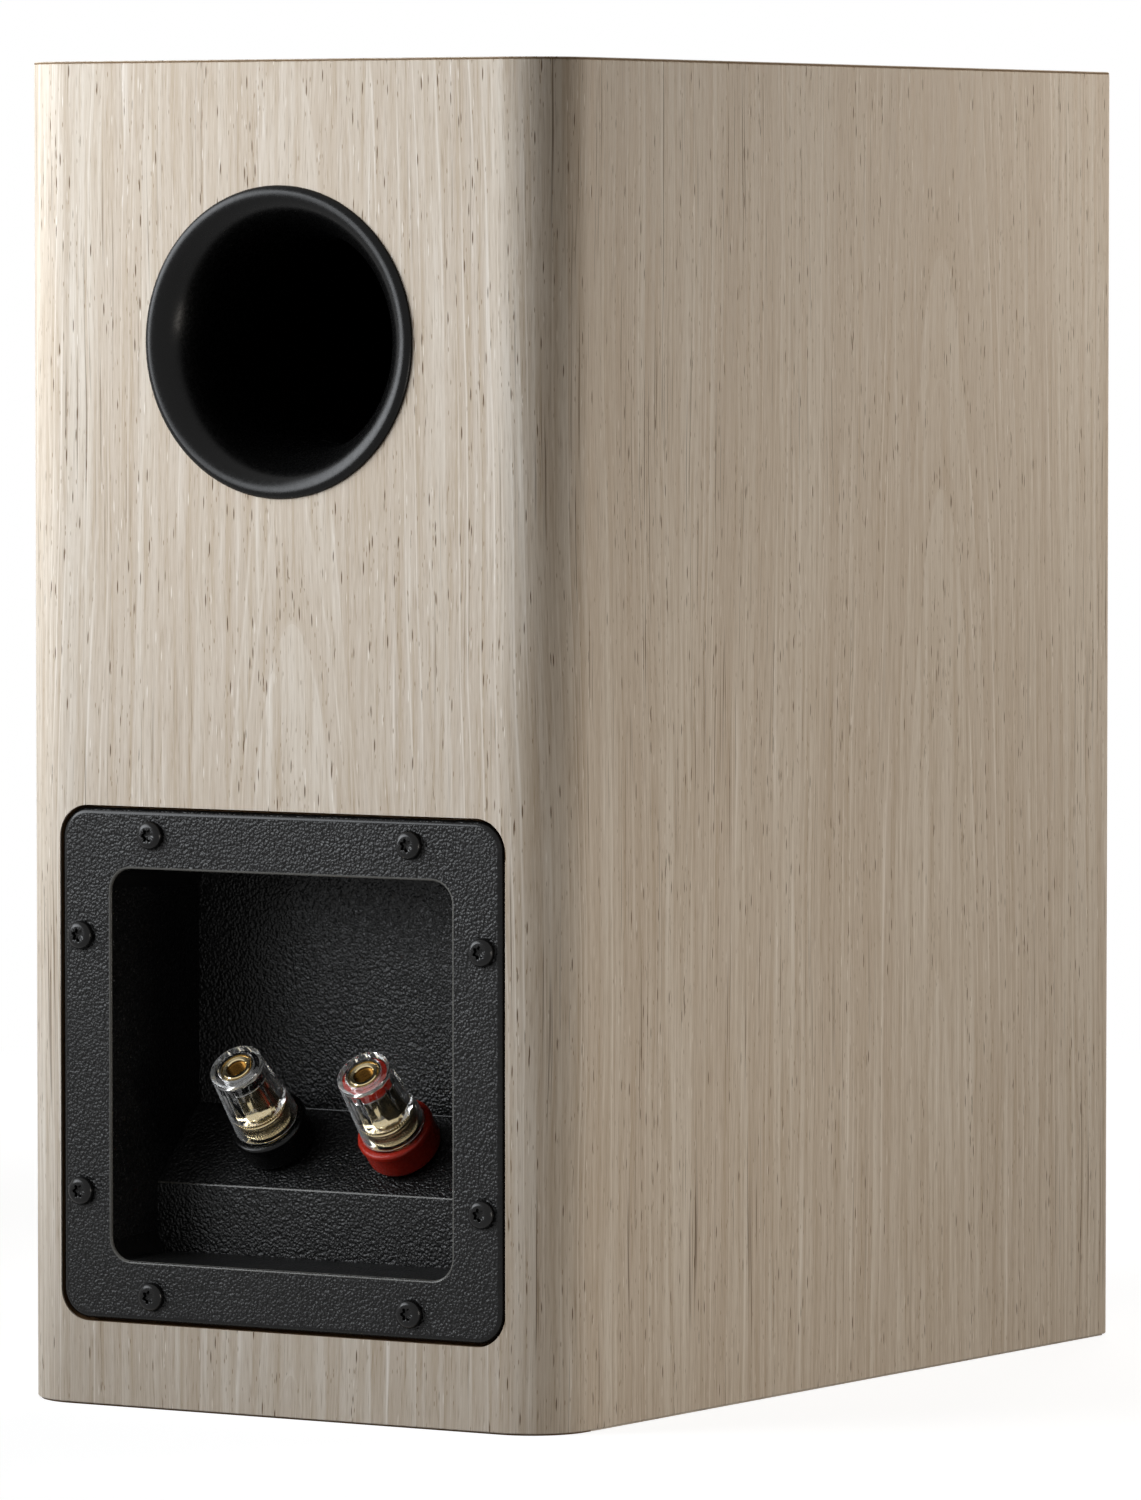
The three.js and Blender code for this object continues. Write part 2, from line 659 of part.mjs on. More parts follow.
function portTube() {
  const inner = PORT_BORE_RADIUS;
  const outer = inner + PORT_WALL;
  const start = -PORT_FLARE_DEPTH - 2 - CLEARANCE;
  const end = PORT_LIP_PROUD - PORT_LENGTH;
  const flare = PORT_INNER_RADIUS - inner;
  const curve = (offset) => [0, 0.6, 1].map((t) => [
    inner + offset + flare * t * t,
    end + PORT_INNER_FLARE * (1 - t),
  ]);
  return revolve([
    [inner, start],
    ...curve(0),
    ...curve(PORT_WALL).reverse(),
    [outer, start],
  ], PORT_STEPS);
}

// ---------------------------------------------------------------- terminal cup

// The cup's parts are placed from the middle of the plate's outer face, with y running out of the cabinet.
function screwPlaces() {
  const upDown = [-1, 1].flatMap((a) => [-1, 1].map((b) => [a * SCREW_NEAR, b * SCREW_FAR]));
  const leftRight = [-1, 1].flatMap((a) => [-1, 1].map((b) => [a * SCREW_SIDE_FAR, b * SCREW_SIDE_NEAR]));
  return [...upDown, ...leftRight];
}

// The drafted well of the cup, grown by a wall.
function well(wall, top, bottom) {
  const shrink = (depth) => 2 * (wall - (MOUTH_DRAFT * depth) / RECESS_DEPTH);
  const section = (y) => ({
    y,
    points: roundedRectangle(MOUTH_WIDTH + shrink(-y), MOUTH_HEIGHT + shrink(-y), MOUTH_RADIUS + wall),
  });
  return loft([section(bottom), section(top)]);
}

// What the ledge and the sloping shelf leave of the well: a wall's thickness moves both square to themselves.
function stepProfile(wall) {
  const drop = wall * (Math.SQRT2 - 1);
  const deep = RECESS_DEPTH + wall;
  const reach = MOUTH_HEIGHT;
  return [
    [5, -reach], [-LEDGE_DEPTH - wall, -reach], [-LEDGE_DEPTH - wall, SHELF_Z - drop],
    [-deep, SHELF_Z + SHELF_RISE - drop], [-deep, reach], [5, reach],
  ].map(([y, z]) => new THREE.Vector2(y, z));
}

function stepped(geometry, wall) {
  return common(geometry, extrudeAcross(stepProfile(wall), -PLATE_WIDTH, PLATE_WIDTH));
}

function platePanel() {
  const corner = [0, 0.5, 1].map((t) => {
    const angle = (t * Math.PI) / 2;
    return { inset: PLATE_EDGE * (1 - Math.cos(angle)), y: -PLATE_EDGE * (1 - Math.sin(angle)) };
  });
  const section = ({ inset, y }) => ({
    y,
    points: roundedRectangle(PLATE_WIDTH - 2 * inset, PLATE_HEIGHT - 2 * inset, PLATE_RADIUS - inset),
  });
  return loft([section({ inset: 0, y: -PLATE_THICKNESS }), ...corner.map(section)]);
}

function placeOnShelf(geometry, x) {
  return geometry.rotateX(POST_TILT).translate(x, -POST_DEPTH, POST_Z);
}

function terminalCup() {
  const shell = join(platePanel(), stepped(well(CUP_WALL, -1, -RECESS_DEPTH - CUP_WALL), CUP_WALL));
  const cavity = stepped(well(0, 2, -RECESS_DEPTH), 0);
  const screwHoles = screwPlaces().map(([x, z]) => (
    cylinderAlongY(PILOT_RADIUS, -PLATE_THICKNESS - 1, 1, HOLE_STEPS).translate(x, 0, z)));
  const postHoles = [-1, 1].map((side) => placeOnShelf(
    cylinderAlongY(POST_SPIGOT_RADIUS + CLEARANCE, -CUP_WALL - 1, 1, POST_STEPS),
    (side * POST_SPACING) / 2,
  ));
  return cut(shell, cavity, ...screwHoles, ...postHoles);
}

function cupScrew() {
  const body = revolve([
    [0, -SCREW_LENGTH],
    [SCREW_SHAFT_RADIUS, -SCREW_LENGTH + 3],
    [SCREW_SHAFT_RADIUS, 0],
    [SCREW_HEAD_RADIUS, 0],
    [SCREW_HEAD_RADIUS - 0.2, SCREW_HEAD_HEIGHT * 0.6],
    [SCREW_HEAD_RADIUS - 1.3, SCREW_HEAD_HEIGHT],
    [0, SCREW_HEAD_HEIGHT],
  ], 12);
  const star = Array.from({ length: 12 }, (unused, i) => {
    const angle = (i / 12) * TURN;
    const radius = TORX_RADIUS * (i % 2 ? 0.72 : 1);
    return new THREE.Vector2(radius * Math.cos(angle), radius * Math.sin(angle));
  });
  return cut(body, extrudeBack(star, SCREW_HEAD_HEIGHT - TORX_DEPTH, SCREW_HEAD_HEIGHT + 1));
}

// ---------------------------------------------------------------- binding posts

// Each post is revolved about its own axis, which starts at the shelf and points out of the cup.
const POST_SEAT_Y = POST_BASE_HEIGHT - POST_RECESS_DEPTH;
const STUD_FLANGE_Y = POST_SEAT_Y + CLEARANCE;
const WASHER_Y = STUD_FLANGE_Y + STUD_FLANGE_THICKNESS + CLEARANCE;
const CAP_Y = WASHER_Y + WASHER_THICKNESS + CLEARANCE;
const CAP_TOP_Y = CAP_Y + CAP_LENGTH;
const MARKER_Y = CAP_TOP_Y - MARKER_COVER - MARKER_HEIGHT;
const SKIRT_TOP_Y = CAP_Y + INSERT_SKIRT_HEIGHT;
const STUD_BORE = STUD_RADIUS + CLEARANCE;

// The coloured base: a body with a rounded foot and a rounded lip, recessed for the stud's flange.
function postBase() {
  const r = POST_BASE_RADIUS;
  const h = POST_BASE_HEIGHT;
  const body = r - 0.4;
  const lip = Math.min(1, POST_BASE_WALL / 2);
  return revolve([
    [STUD_BORE, CLEARANCE - CUP_WALL],
    [POST_SPIGOT_RADIUS, CLEARANCE - CUP_WALL],
    [POST_SPIGOT_RADIUS, CLEARANCE],
    ...arcPoints(body - 1.6, CLEARANCE + 1.6, 1.6, -Math.PI / 2, 0, 2),
    [body, h - 2.2],
    [r, h - 1.8],
    ...arcPoints(r - lip, h - lip, lip, 0, Math.PI / 2, 2),
    [POST_RECESS_RADIUS, h],
    [POST_RECESS_RADIUS, POST_SEAT_Y],
    [STUD_BORE, POST_SEAT_Y],
  ], POST_STEPS);
}

function postStud() {
  const r = STUD_RADIUS;
  const top = STUD_LENGTH - STUD_TAIL;
  const flange = STUD_FLANGE_Y;
  return revolve([
    [0, -STUD_TAIL],
    [r - 0.6, -STUD_TAIL],
    [r, -STUD_TAIL + 0.6],
    [r, flange],
    [STUD_FLANGE_RADIUS, flange],
    [STUD_FLANGE_RADIUS, flange + STUD_FLANGE_THICKNESS],
    [r, flange + STUD_FLANGE_THICKNESS],
    [r, top - 0.6],
    [r - 0.6, top],
    [SOCKET_RADIUS + 0.4, top],
    [SOCKET_RADIUS, top - 0.4],
    [SOCKET_RADIUS, top - SOCKET_DEPTH],
    [0, top - SOCKET_DEPTH],
  ]);
}

function postWasher() {
  return revolve([
    [STUD_BORE, WASHER_Y],
    [WASHER_RADIUS, WASHER_Y],
    [WASHER_RADIUS, WASHER_Y + WASHER_THICKNESS],
    [STUD_BORE, WASHER_Y + WASHER_THICKNESS],
  ]);
}

// The clear cap: a tapering fluted barrel with a plain collar, bored for the insert and the marker.
function postCap() {
  const flute = CAP_FLUTE_DEPTH;
  const wide = CAP_BOTTOM_RADIUS;
  const slim = CAP_TOP_RADIUS;
  const skirt = INSERT_SKIRT_RADIUS + CLEARANCE;
  const body = INSERT_BODY_RADIUS + CLEARANCE;
  const marker = MARKER_RADIUS + CLEARANCE;
  return revolveWithLobes([
    [wide - 0.3, CAP_Y, 0],
    [wide, CAP_Y + 2, flute / 2],
    [slim, CAP_TOP_Y - CAP_COLLAR_HEIGHT - 0.4, flute],
    [slim - 0.1, CAP_TOP_Y - CAP_COLLAR_HEIGHT, 0],
    [slim - 0.1, CAP_TOP_Y - 0.4, 0],
    [slim - 0.5, CAP_TOP_Y, 0],
    [INSERT_NECK_RADIUS + CLEARANCE, CAP_TOP_Y, 0],
    [INSERT_NECK_RADIUS + CLEARANCE, MARKER_Y + MARKER_HEIGHT + CLEARANCE, 0],
    [marker, MARKER_Y + MARKER_HEIGHT + CLEARANCE, 0],
    [marker, MARKER_Y - CLEARANCE, 0],
    [body, MARKER_Y - CLEARANCE, 0],
    [body, SKIRT_TOP_Y + 1.6, 0],
    [skirt, SKIRT_TOP_Y + CLEARANCE, 0],
    [skirt, CAP_Y, 0],
  ], CAP_FLUTES, 2);
}

// The brass insert: a splined body on a knurled skirt, with a bevelled mouth round the socket.
function postInsert() {
  const shoulder = STUD_LENGTH - STUD_TAIL + 1.3;
  const mouth = SOCKET_RADIUS + 1.15;
  const spline = INSERT_SPLINE_DEPTH;
  return revolveWithLobes([
    [STUD_BORE, CAP_Y, 0],
    [INSERT_SKIRT_RADIUS - 0.3, CAP_Y, 0.3],
    [INSERT_SKIRT_RADIUS, SKIRT_TOP_Y - 1.2, 0.3],
    [INSERT_SKIRT_RADIUS, SKIRT_TOP_Y, 0.3],
    [INSERT_BODY_RADIUS, SKIRT_TOP_Y + 1, spline],
    [INSERT_BODY_RADIUS, MARKER_Y - 2 * CLEARANCE, spline],
    [INSERT_NECK_RADIUS, MARKER_Y - 2 * CLEARANCE, 0],
    [INSERT_NECK_RADIUS, CAP_TOP_Y - 1, 0],
    [mouth + 1.2, CAP_TOP_Y - 0.3, 0],
    [mouth, CAP_TOP_Y - 1.2, 0],
    [mouth, shoulder, 0],
    [STUD_BORE, shoulder, 0],
  ], INSERT_SPLINES, 2);
}

function postMarker() {
  const bore = INSERT_NECK_RADIUS + CLEARANCE;
  return revolve([
    [bore, MARKER_Y],
    [MARKER_RADIUS, MARKER_Y],
    [MARKER_RADIUS, MARKER_Y + MARKER_HEIGHT],
    [bore, MARKER_Y + MARKER_HEIGHT],
  ]);
}

function postNut() {
  const corner = NUT_FLATS / Math.sqrt(3);
  const hexagon = Array.from({ length: 6 }, (unused, i) => {
    const angle = (i / 6) * TURN;
    return new THREE.Vector2(corner * Math.cos(angle), corner * Math.sin(angle));
  });
  const seat = -CUP_WALL - CLEARANCE;
  return cut(
    extrudeBack(hexagon, seat - NUT_THICKNESS, seat),
    cylinderAlongY(STUD_BORE, seat - NUT_THICKNESS - 1, seat + 1),
  );
}

// ---------------------------------------------------------------- woofer

// The drivers are revolved about an axis that starts at the baffle's face and runs into the cabinet.
const SURROUND_LEDGE = WOOFER_FLANGE - 1.3;
const ROLL_RADIUS = (BASKET_RADIUS - 3.5 + CONE_RADIUS + 0.5) / 2;
const CONE_RIM_DEPTH = SURROUND_LEDGE;
const NECK_RADIUS = WOOFER_COIL_RADIUS + FORMER_THICKNESS + CLEARANCE;
const MAGNET_DEPTH = BASKET_DEPTH + WOOFER_PLATE_THICKNESS;
const YOKE_DEPTH = MAGNET_DEPTH + WOOFER_MAGNET_THICKNESS;

// How far back the cone's front face lies at a radius.
function coneFace(radius) {
  const t = (CONE_RADIUS - 3 - radius) / (CONE_RADIUS - 3 - NECK_RADIUS);
  return CONE_RIM_DEPTH + CONE_DEPTH * (1.25 * t - 0.25 * t * t);
}

function wedge(inner, outer, middle, spread) {
  const half = spread / 2;
  const at = (radius, angle) => new THREE.Vector2(radius * Math.cos(angle), radius * Math.sin(angle));
  return [
    at(inner, middle - half),
    at(outer, middle - half),
    at(outer, middle + half),
    at(inner, middle + half),
  ];
}

function wooferBasket() {
  const r = BASKET_RADIUS;
  const wall = BASKET_WALL;
  const ledge = SURROUND_LEDGE;
  const shelf = SPIDER_DEPTH;
  const waist = SPIDER_RADIUS + wall;
  const back = BASKET_DEPTH;
  const seat = WOOFER_PLATE_RADIUS - 1;
  const body = revolve([
    [r + 1, 0.8],
    [r + 2, 0],
    [WOOFER_RADIUS - 0.8, 0],
    [WOOFER_RADIUS, 0.8],
    [WOOFER_RADIUS, WOOFER_FLANGE],
    [r, WOOFER_FLANGE],
    [r, WOOFER_FLANGE + 7],
    [waist, shelf - 1],
    [waist, shelf + 4],
    [seat, back - 4],
    [seat, back],
    [WOOFER_COIL_RADIUS + 3, back],
    [WOOFER_COIL_RADIUS + 3, back - wall],
    [seat - wall, back - wall],
    [seat - wall, back - 5],
    [SPIDER_RADIUS - 4, shelf + 4],
    [SPIDER_RADIUS - 4, shelf],
    [SPIDER_RADIUS + 0.7, shelf],
    [SPIDER_RADIUS + 0.7, shelf - 3],
    [r - wall - 0.5, WOOFER_FLANGE + 6],
    [r - wall - 0.5, ledge],
    [r + 1, ledge],
  ], DRIVER_STEPS);
  const windows = Array.from({ length: BASKET_LEGS }, (unused, i) => {
    const middle = (i / BASKET_LEGS) * TURN;
    const spread = (BASKET_WINDOW_ANGLE * Math.PI) / 180;
    const sector = wedge(SPIDER_RADIUS - 6, WOOFER_RADIUS, middle, spread);
    return extrudeBack(sector, WOOFER_FLANGE + 9, SPIDER_DEPTH - 4);
  });
  return join(cut(body, ...windows), wooferTab());
}

// The soldering tab stands on the lower left of the basket, behind the spider's seat.
const TAB_ANGLE = (-135 * Math.PI) / 180;
const TAB_RADIUS = SPIDER_RADIUS + BASKET_WALL + 5;

function wooferTab() {
  return new THREE.BoxGeometry(9, 3, 12)
    .translate(SPIDER_RADIUS + BASKET_WALL + 3, SPIDER_DEPTH + 2, 0)
    .rotateY(-TAB_ANGLE);
}

function wooferSurround() {
  const ledge = SURROUND_LEDGE;
  const t = SURROUND_THICKNESS;
  const roll = arcPoints(ROLL_RADIUS, ledge - t, SURROUND_ROLL, 0, -Math.PI, 4);
  const under = arcPoints(ROLL_RADIUS, ledge, SURROUND_ROLL - t, -Math.PI, 0, 4);
  return revolve([
    [BASKET_RADIUS + 0.5, ledge - t],
    ...roll,
    [CONE_RADIUS - 2.6, ledge - t],
    [CONE_RADIUS - 2.6, ledge],
    ...under,
    [BASKET_RADIUS + 0.5, ledge],
  ], DRIVER_STEPS);
}

function wooferCone() {
  const stations = [0, 0.33, 0.67, 1];
  const radii = stations.map((s) => CONE_RADIUS - 3 - s * (CONE_RADIUS - 3 - NECK_RADIUS));
  const front = radii.map((radius) => [radius, coneFace(radius)]);
  const rear = [...front].reverse().map(([radius, y]) => [radius, y + CONE_THICKNESS]);
  return revolve([
    [CONE_RADIUS, CONE_RIM_DEPTH],
    ...front,
    ...rear,
    [CONE_RADIUS, CONE_RIM_DEPTH + CONE_THICKNESS],
  ], DRIVER_STEPS);
}

function domeProfile(radius, height, thickness, base) {
  const curve = (radius * radius + height * height) / (2 * height);
  const apex = base - height;
  const half = Math.asin(radius / curve);
  const outer = arcPoints(0, apex + curve, curve, -Math.PI / 2 + half, -Math.PI / 2, 4);
  const inner = arcPoints(0, apex + curve, curve - thickness, -Math.PI / 2, -Math.PI / 2 + half, 4);
  return [...outer, ...inner].map(([r, y]) => [Math.abs(r) < MERGE_DISTANCE ? 0 : r, y]);
}

function wooferDustCap() {
  const base = coneFace(DUST_CAP_RADIUS) - CONE_THICKNESS - CLEARANCE;
  return revolve(domeProfile(DUST_CAP_RADIUS, DUST_CAP_HEIGHT, CONE_THICKNESS, base), DRIVER_STEPS);
}

// The former runs from the cone's neck through the magnet's gap, with the winding round its far end.
function wooferVoiceCoil() {
  const r = WOOFER_COIL_RADIUS;
  const outer = r + FORMER_THICKNESS;
  const front = CONE_RIM_DEPTH + CONE_DEPTH - 1;
  const middle = BASKET_DEPTH + WOOFER_PLATE_THICKNESS / 2;
  const start = middle - WINDING_LENGTH / 2;
  const end = middle + WINDING_LENGTH / 2;
  return revolve([
    [r, front],
    [outer, front],
    [outer, start],
    [outer + WINDING_THICKNESS, start],
    [outer + WINDING_THICKNESS, end],
    [r, end],
  ]);
}

// The corrugated suspension lies on the basket's inner ledge.
function wooferSpider() {
  const thick = 0.8;
  const level = SPIDER_DEPTH - thick;
  const flat = SPIDER_RADIUS - 5.5;
  const inner = NECK_RADIUS + 2.5;
  const waves = Array.from({ length: SPIDER_FOLDS }, (unused, i) => [
    inner + ((flat - inner) * (i + 0.5)) / SPIDER_FOLDS,
    level + (i % 2 ? 1.4 : -1.4),
  ]);
  const face = [
    [SPIDER_RADIUS, level],
    [flat, level],
    ...waves.reverse(),
    [inner, level],
    [NECK_RADIUS, level],
  ];
  const rear = [...face].reverse().map(([radius, y]) => [radius, y + thick]);
  return revolve([...face, ...rear]);
}

function wooferTopPlate() {
  const gap = WOOFER_COIL_RADIUS + FORMER_THICKNESS + WINDING_THICKNESS + 0.7;
  return revolve([
    [gap, BASKET_DEPTH],
    [WOOFER_PLATE_RADIUS, BASKET_DEPTH],
    [WOOFER_PLATE_RADIUS, MAGNET_DEPTH],
    [gap, MAGNET_DEPTH],
  ]);
}

function wooferMagnet() {
  const r = WOOFER_MAGNET_RADIUS;
  const bore = WOOFER_COIL_RADIUS + 8;
  return revolve([
    [bore, MAGNET_DEPTH],
    [r - 1, MAGNET_DEPTH],
    [r, MAGNET_DEPTH + 1],
    [r, YOKE_DEPTH - 1],
    [r - 1, YOKE_DEPTH],
    [bore, YOKE_DEPTH],
  ]);
}

function wooferYoke() {
  const pole = WOOFER_COIL_RADIUS - 0.8;
  const back = YOKE_DEPTH + WOOFER_YOKE_THICKNESS;
  return revolve([
    [WOOFER_VENT_RADIUS, BASKET_DEPTH - 0.5],
    [pole, BASKET_DEPTH - 0.5],
    [pole, YOKE_DEPTH],
    [WOOFER_PLATE_RADIUS, YOKE_DEPTH],
    [WOOFER_PLATE_RADIUS, back - 2],
    [WOOFER_PLATE_RADIUS - 2, back],
    [WOOFER_VENT_RADIUS + 3, back],
    [WOOFER_VENT_RADIUS, back - 4],
  ]);
}

// ---------------------------------------------------------------- tweeter

const DIAPHRAGM_RIM = DOME_RADIUS + 2 * TWEETER_ROLL + 0.6;
const TWEETER_PLATE_DEPTH = DOME_DEPTH + 1;
const TWEETER_BACK = TWEETER_PLATE_DEPTH + TWEETER_MOTOR_DEPTH;

function tweeterFaceplate() {
  const throat = DIAPHRAGM_RIM;
  const flare = WAVEGUIDE_RADIUS - throat;
  const guide = [0, 0.33, 0.67, 1].map((t) => [
    throat + flare * t,
    (TWEETER_FLANGE - 0.6) * (1 - t) * (1 - t),
  ]);
  return revolve([
    ...guide,
    [TWEETER_RADIUS - 0.6, 0],
    [TWEETER_RADIUS, 0.6],
    [TWEETER_RADIUS, TWEETER_FLANGE],
    [TWEETER_BOSS_RADIUS, TWEETER_FLANGE],
    [TWEETER_BOSS_RADIUS, TWEETER_PLATE_DEPTH],
    [DIAPHRAGM_RIM + 4, TWEETER_PLATE_DEPTH],
    [DIAPHRAGM_RIM + 4, TWEETER_PLATE_DEPTH - 1],
    [throat, TWEETER_PLATE_DEPTH - 1],
  ], DRIVER_STEPS);
}

function tweeterDome() {
  return revolve(domeProfile(DOME_RADIUS, DOME_HEIGHT, DOME_THICKNESS, DOME_DEPTH));
}

function tweeterSurround() {
  const t = DOME_THICKNESS;
  const inner = DOME_RADIUS + CLEARANCE;
  const middle = inner + TWEETER_ROLL;
  const level = TWEETER_PLATE_DEPTH;
  return revolve([
    [DIAPHRAGM_RIM + 3.6, level - t],
    ...arcPoints(middle, level - t, TWEETER_ROLL, 0, -Math.PI, 3),
    [inner, level],
    ...arcPoints(middle, level, TWEETER_ROLL - t, -Math.PI, 0, 3),
    [DIAPHRAGM_RIM + 3.6, level],
  ]);
}

function tweeterVoiceCoil() {
  const r = DOME_RADIUS - 0.7;
  return revolve([
    [r, DOME_DEPTH + DOME_THICKNESS + CLEARANCE],
    [r + 0.5, DOME_DEPTH + DOME_THICKNESS + CLEARANCE],
    [r + 0.5, TWEETER_PLATE_DEPTH + 5],
    [r, TWEETER_PLATE_DEPTH + 5],
  ]);
}

// Plate, ring magnet, back plate and vented pole, with the coil's gap between pole and plate.
function tweeterMotor() {
  const front = TWEETER_PLATE_DEPTH;
  const r = TWEETER_MOTOR_RADIUS;
  const gapInner = DOME_RADIUS - 1.2;
  const gapOuter = DOME_RADIUS + 0.4;
  return revolve([
    [3, front + 0.4],
    [gapInner, front + 0.4],
    [gapInner, front + 8],
    [gapOuter, front + 8],
    [gapOuter, front],
    [r - 2, front],
    [r - 2, front + 4],
    [r, front + 4],
    [r, TWEETER_BACK],
    [3, TWEETER_BACK],
  ]);
}

function tweeterChamber() {
  const r = TWEETER_MOTOR_RADIUS;
  const wall = TWEETER_CHAMBER_WALL;
  const end = TWEETER_BACK + TWEETER_CHAMBER_DEPTH;
  return revolve([
    [0, end],
    [r - 2, end],
    [r, end - 2],
    [r, TWEETER_BACK],
    [r - wall, TWEETER_BACK],
    [r - wall, end - wall],
    [0, end - wall],
  ]);
}

// ---------------------------------------------------------------- crossover

function crossoverBoard() {
  return extrudeUp(
    roundedRectangle(CROSSOVER_WIDTH, CROSSOVER_LENGTH, 4, 3),
    BOTTOM_BOARD_THICKNESS,
    CROSSOVER_TOP,
  ).translate(0, CROSSOVER_Y, 0);
}

function inductor(radius, height, [x, y]) {
  const core = radius * 0.42;
  const cheek = 1.5;
  return revolve([
    [core - 2, 0],
    [radius, 0],
    [radius, cheek],
    [radius - 2, cheek],
    [radius - 2, height - cheek],
    [radius, height - cheek],
    [radius, height],
    [core - 2, height],
  ], POST_STEPS).rotateX(Math.PI / 2).translate(x, CROSSOVER_Y + y, CROSSOVER_TOP);
}

function capacitor() {
  const [x, y] = CAPACITOR_PLACE;
  const half = CAPACITOR_LENGTH / 2;
  const r = CAPACITOR_RADIUS;
  return revolve([
    [0, -half], [r - 1.5, -half], [r, -half + 1.5], [r, half - 1.5], [r - 1.5, half], [0, half],
  ])
    .rotateZ(Math.PI / 2)
    .translate(x, CROSSOVER_Y + y, CROSSOVER_TOP + CLEARANCE + r);
}

function resistor() {
  const y = WOOFER_INDUCTOR_PLACE[1] + WOOFER_INDUCTOR_RADIUS + RESISTOR_GAP + RESISTOR_SIDE / 2;
  const outline = roundedRectangle(RESISTOR_LENGTH, RESISTOR_SIDE, 1, 1);
  return extrudeUp(outline, CROSSOVER_TOP, CROSSOVER_TOP + RESISTOR_SIDE)
    .translate(RESISTOR_X, CROSSOVER_Y + y, 0);
}

// ---------------------------------------------------------------- leads

// From the stud's tail down to the crossover.
function inputLead(x) {
  const along = (w) => [
    x,
    REAR_Y - POST_DEPTH + w * Math.cos(POST_TILT),
    PLATE_Z + POST_Z + w * Math.sin(POST_TILT),
  ];
  const start = -STUD_TAIL - CLEARANCE;
  const landing = CROSSOVER_Y + CROSSOVER_LENGTH / 2 - 4;
  return lead([
    along(start),
    along(start - 6),
    [x, landing + 12, CROSSOVER_TOP + 24],
    [x, landing + 2, CROSSOVER_TOP + 12],
    [x, landing, CROSSOVER_TOP + CLEARANCE],
  ], INPUT_LEAD_RADIUS, 8);
}

// From the crossover through the brace's lower window to the tab on the basket.
function wooferLead() {
  const x = TAB_RADIUS * Math.cos(TAB_ANGLE);
  const z = WOOFER_Z + TAB_RADIUS * Math.sin(TAB_ANGLE);
  const y = FRONT_Y + SPIDER_DEPTH + 3.5 + CLEARANCE;
  return lead([
    [...WOOFER_LEAD_START, CROSSOVER_TOP + CLEARANCE],
    [...WOOFER_LEAD_START, CROSSOVER_TOP + LEAD_RISE],
    ...WOOFER_LEAD_BENDS,
    [...WOOFER_LEAD_RUN, z - 3],
    [x, y + 14, z],
    [x, y, z],
  ], DRIVER_LEAD_RADIUS, 13);
}

// From the crossover up behind the brace and through its upper window to the tweeter's chamber.
function tweeterLead() {
  const y = FRONT_Y + TWEETER_BACK + TWEETER_CHAMBER_DEPTH + CLEARANCE;
  return lead([
    [...TWEETER_LEAD_START, CROSSOVER_TOP + CLEARANCE],
    [...TWEETER_LEAD_START, CROSSOVER_TOP + LEAD_RISE],
    ...TWEETER_LEAD_BENDS,
    [TWEETER_LEAD_END_X, y + 6, TWEETER_Z],
    [TWEETER_LEAD_END_X, y, TWEETER_Z],
  ], DRIVER_LEAD_RADIUS, 19);
}

// ---------------------------------------------------------------- assembly

function part(name, geometry, material) {
  const mesh = new THREE.Mesh(closed(geometry), material());
  mesh.name = name;
  return mesh;
}

function groupAt(x, y, z, parts) {
  const group = new THREE.Group();
  group.position.set(x, y, z);
  group.add(...parts);
  return group;
}

function cabinet() {
  return [
    part('front_baffle', frontBaffle(), oakVeneer),
    part('left_side_board', sideBoard(-1), board),
    part('right_side_board', sideBoard(1), board),
    part('top_board', extrudeUp(
      spanOutline(BAFFLE_BACK_Y, REAR_BOARD_Y, SKIN), INNER_TOP_Z, BOARD_TOP_Z), board),
    part('bottom_board', extrudeUp(
      spanOutline(BAFFLE_BACK_Y, REAR_BOARD_Y, SKIN), 0, BOTTOM_BOARD_THICKNESS), oakVeneer),
    part('rear_board', rearBoard(), board),
    part('window_brace', windowBrace(), board),
    part('veneer_wrap', veneerWrap(), oakVeneer),
    part('top_veneer', topVeneer(), oakVeneer),
    part('left_damping_foam', dampingFoam(-1), foam),
    part('right_damping_foam', dampingFoam(1), foam),
  ];
}

function port() {
  return groupAt(0, REAR_Y, PORT_Z, [
    part('port_flare', portFlare(), satinBlack),
    part('port_tube', portTube(), blackPlastic),
  ]);
}

function bindingPost(colour, x, plastic) {
  const group = groupAt(x, -POST_DEPTH, POST_Z, [
    part(`${colour}_post_base`, postBase(), plastic),
    part(`${colour}_post_stud`, postStud(), brass),
    part(`${colour}_post_washer`, postWasher(), polishedMetal),
    part(`${colour}_post_cap`, postCap(), clearPlastic),
    part(`${colour}_post_insert`, postInsert(), brass),
    part(`${colour}_post_marker`, postMarker(), plastic),
    part(`${colour}_post_nut`, postNut(), platedSteel),
  ]);
  group.rotation.x = POST_TILT;
  return group;
}

function terminals() {
  const screws = screwPlaces().map(([x, z], i) => {
    const screw = part(`cup_screw_${i + 1}`, cupScrew(), blackSteel);
    screw.position.set(x, 0, z);
    return screw;
  });
  return groupAt(0, REAR_Y, PLATE_Z, [
    part('terminal_cup', terminalCup(), grainedBlack),
    ...screws,
    bindingPost('black', POST_SPACING / 2, blackPlastic),
    bindingPost('red', -POST_SPACING / 2, redPlastic),
  ]);
}

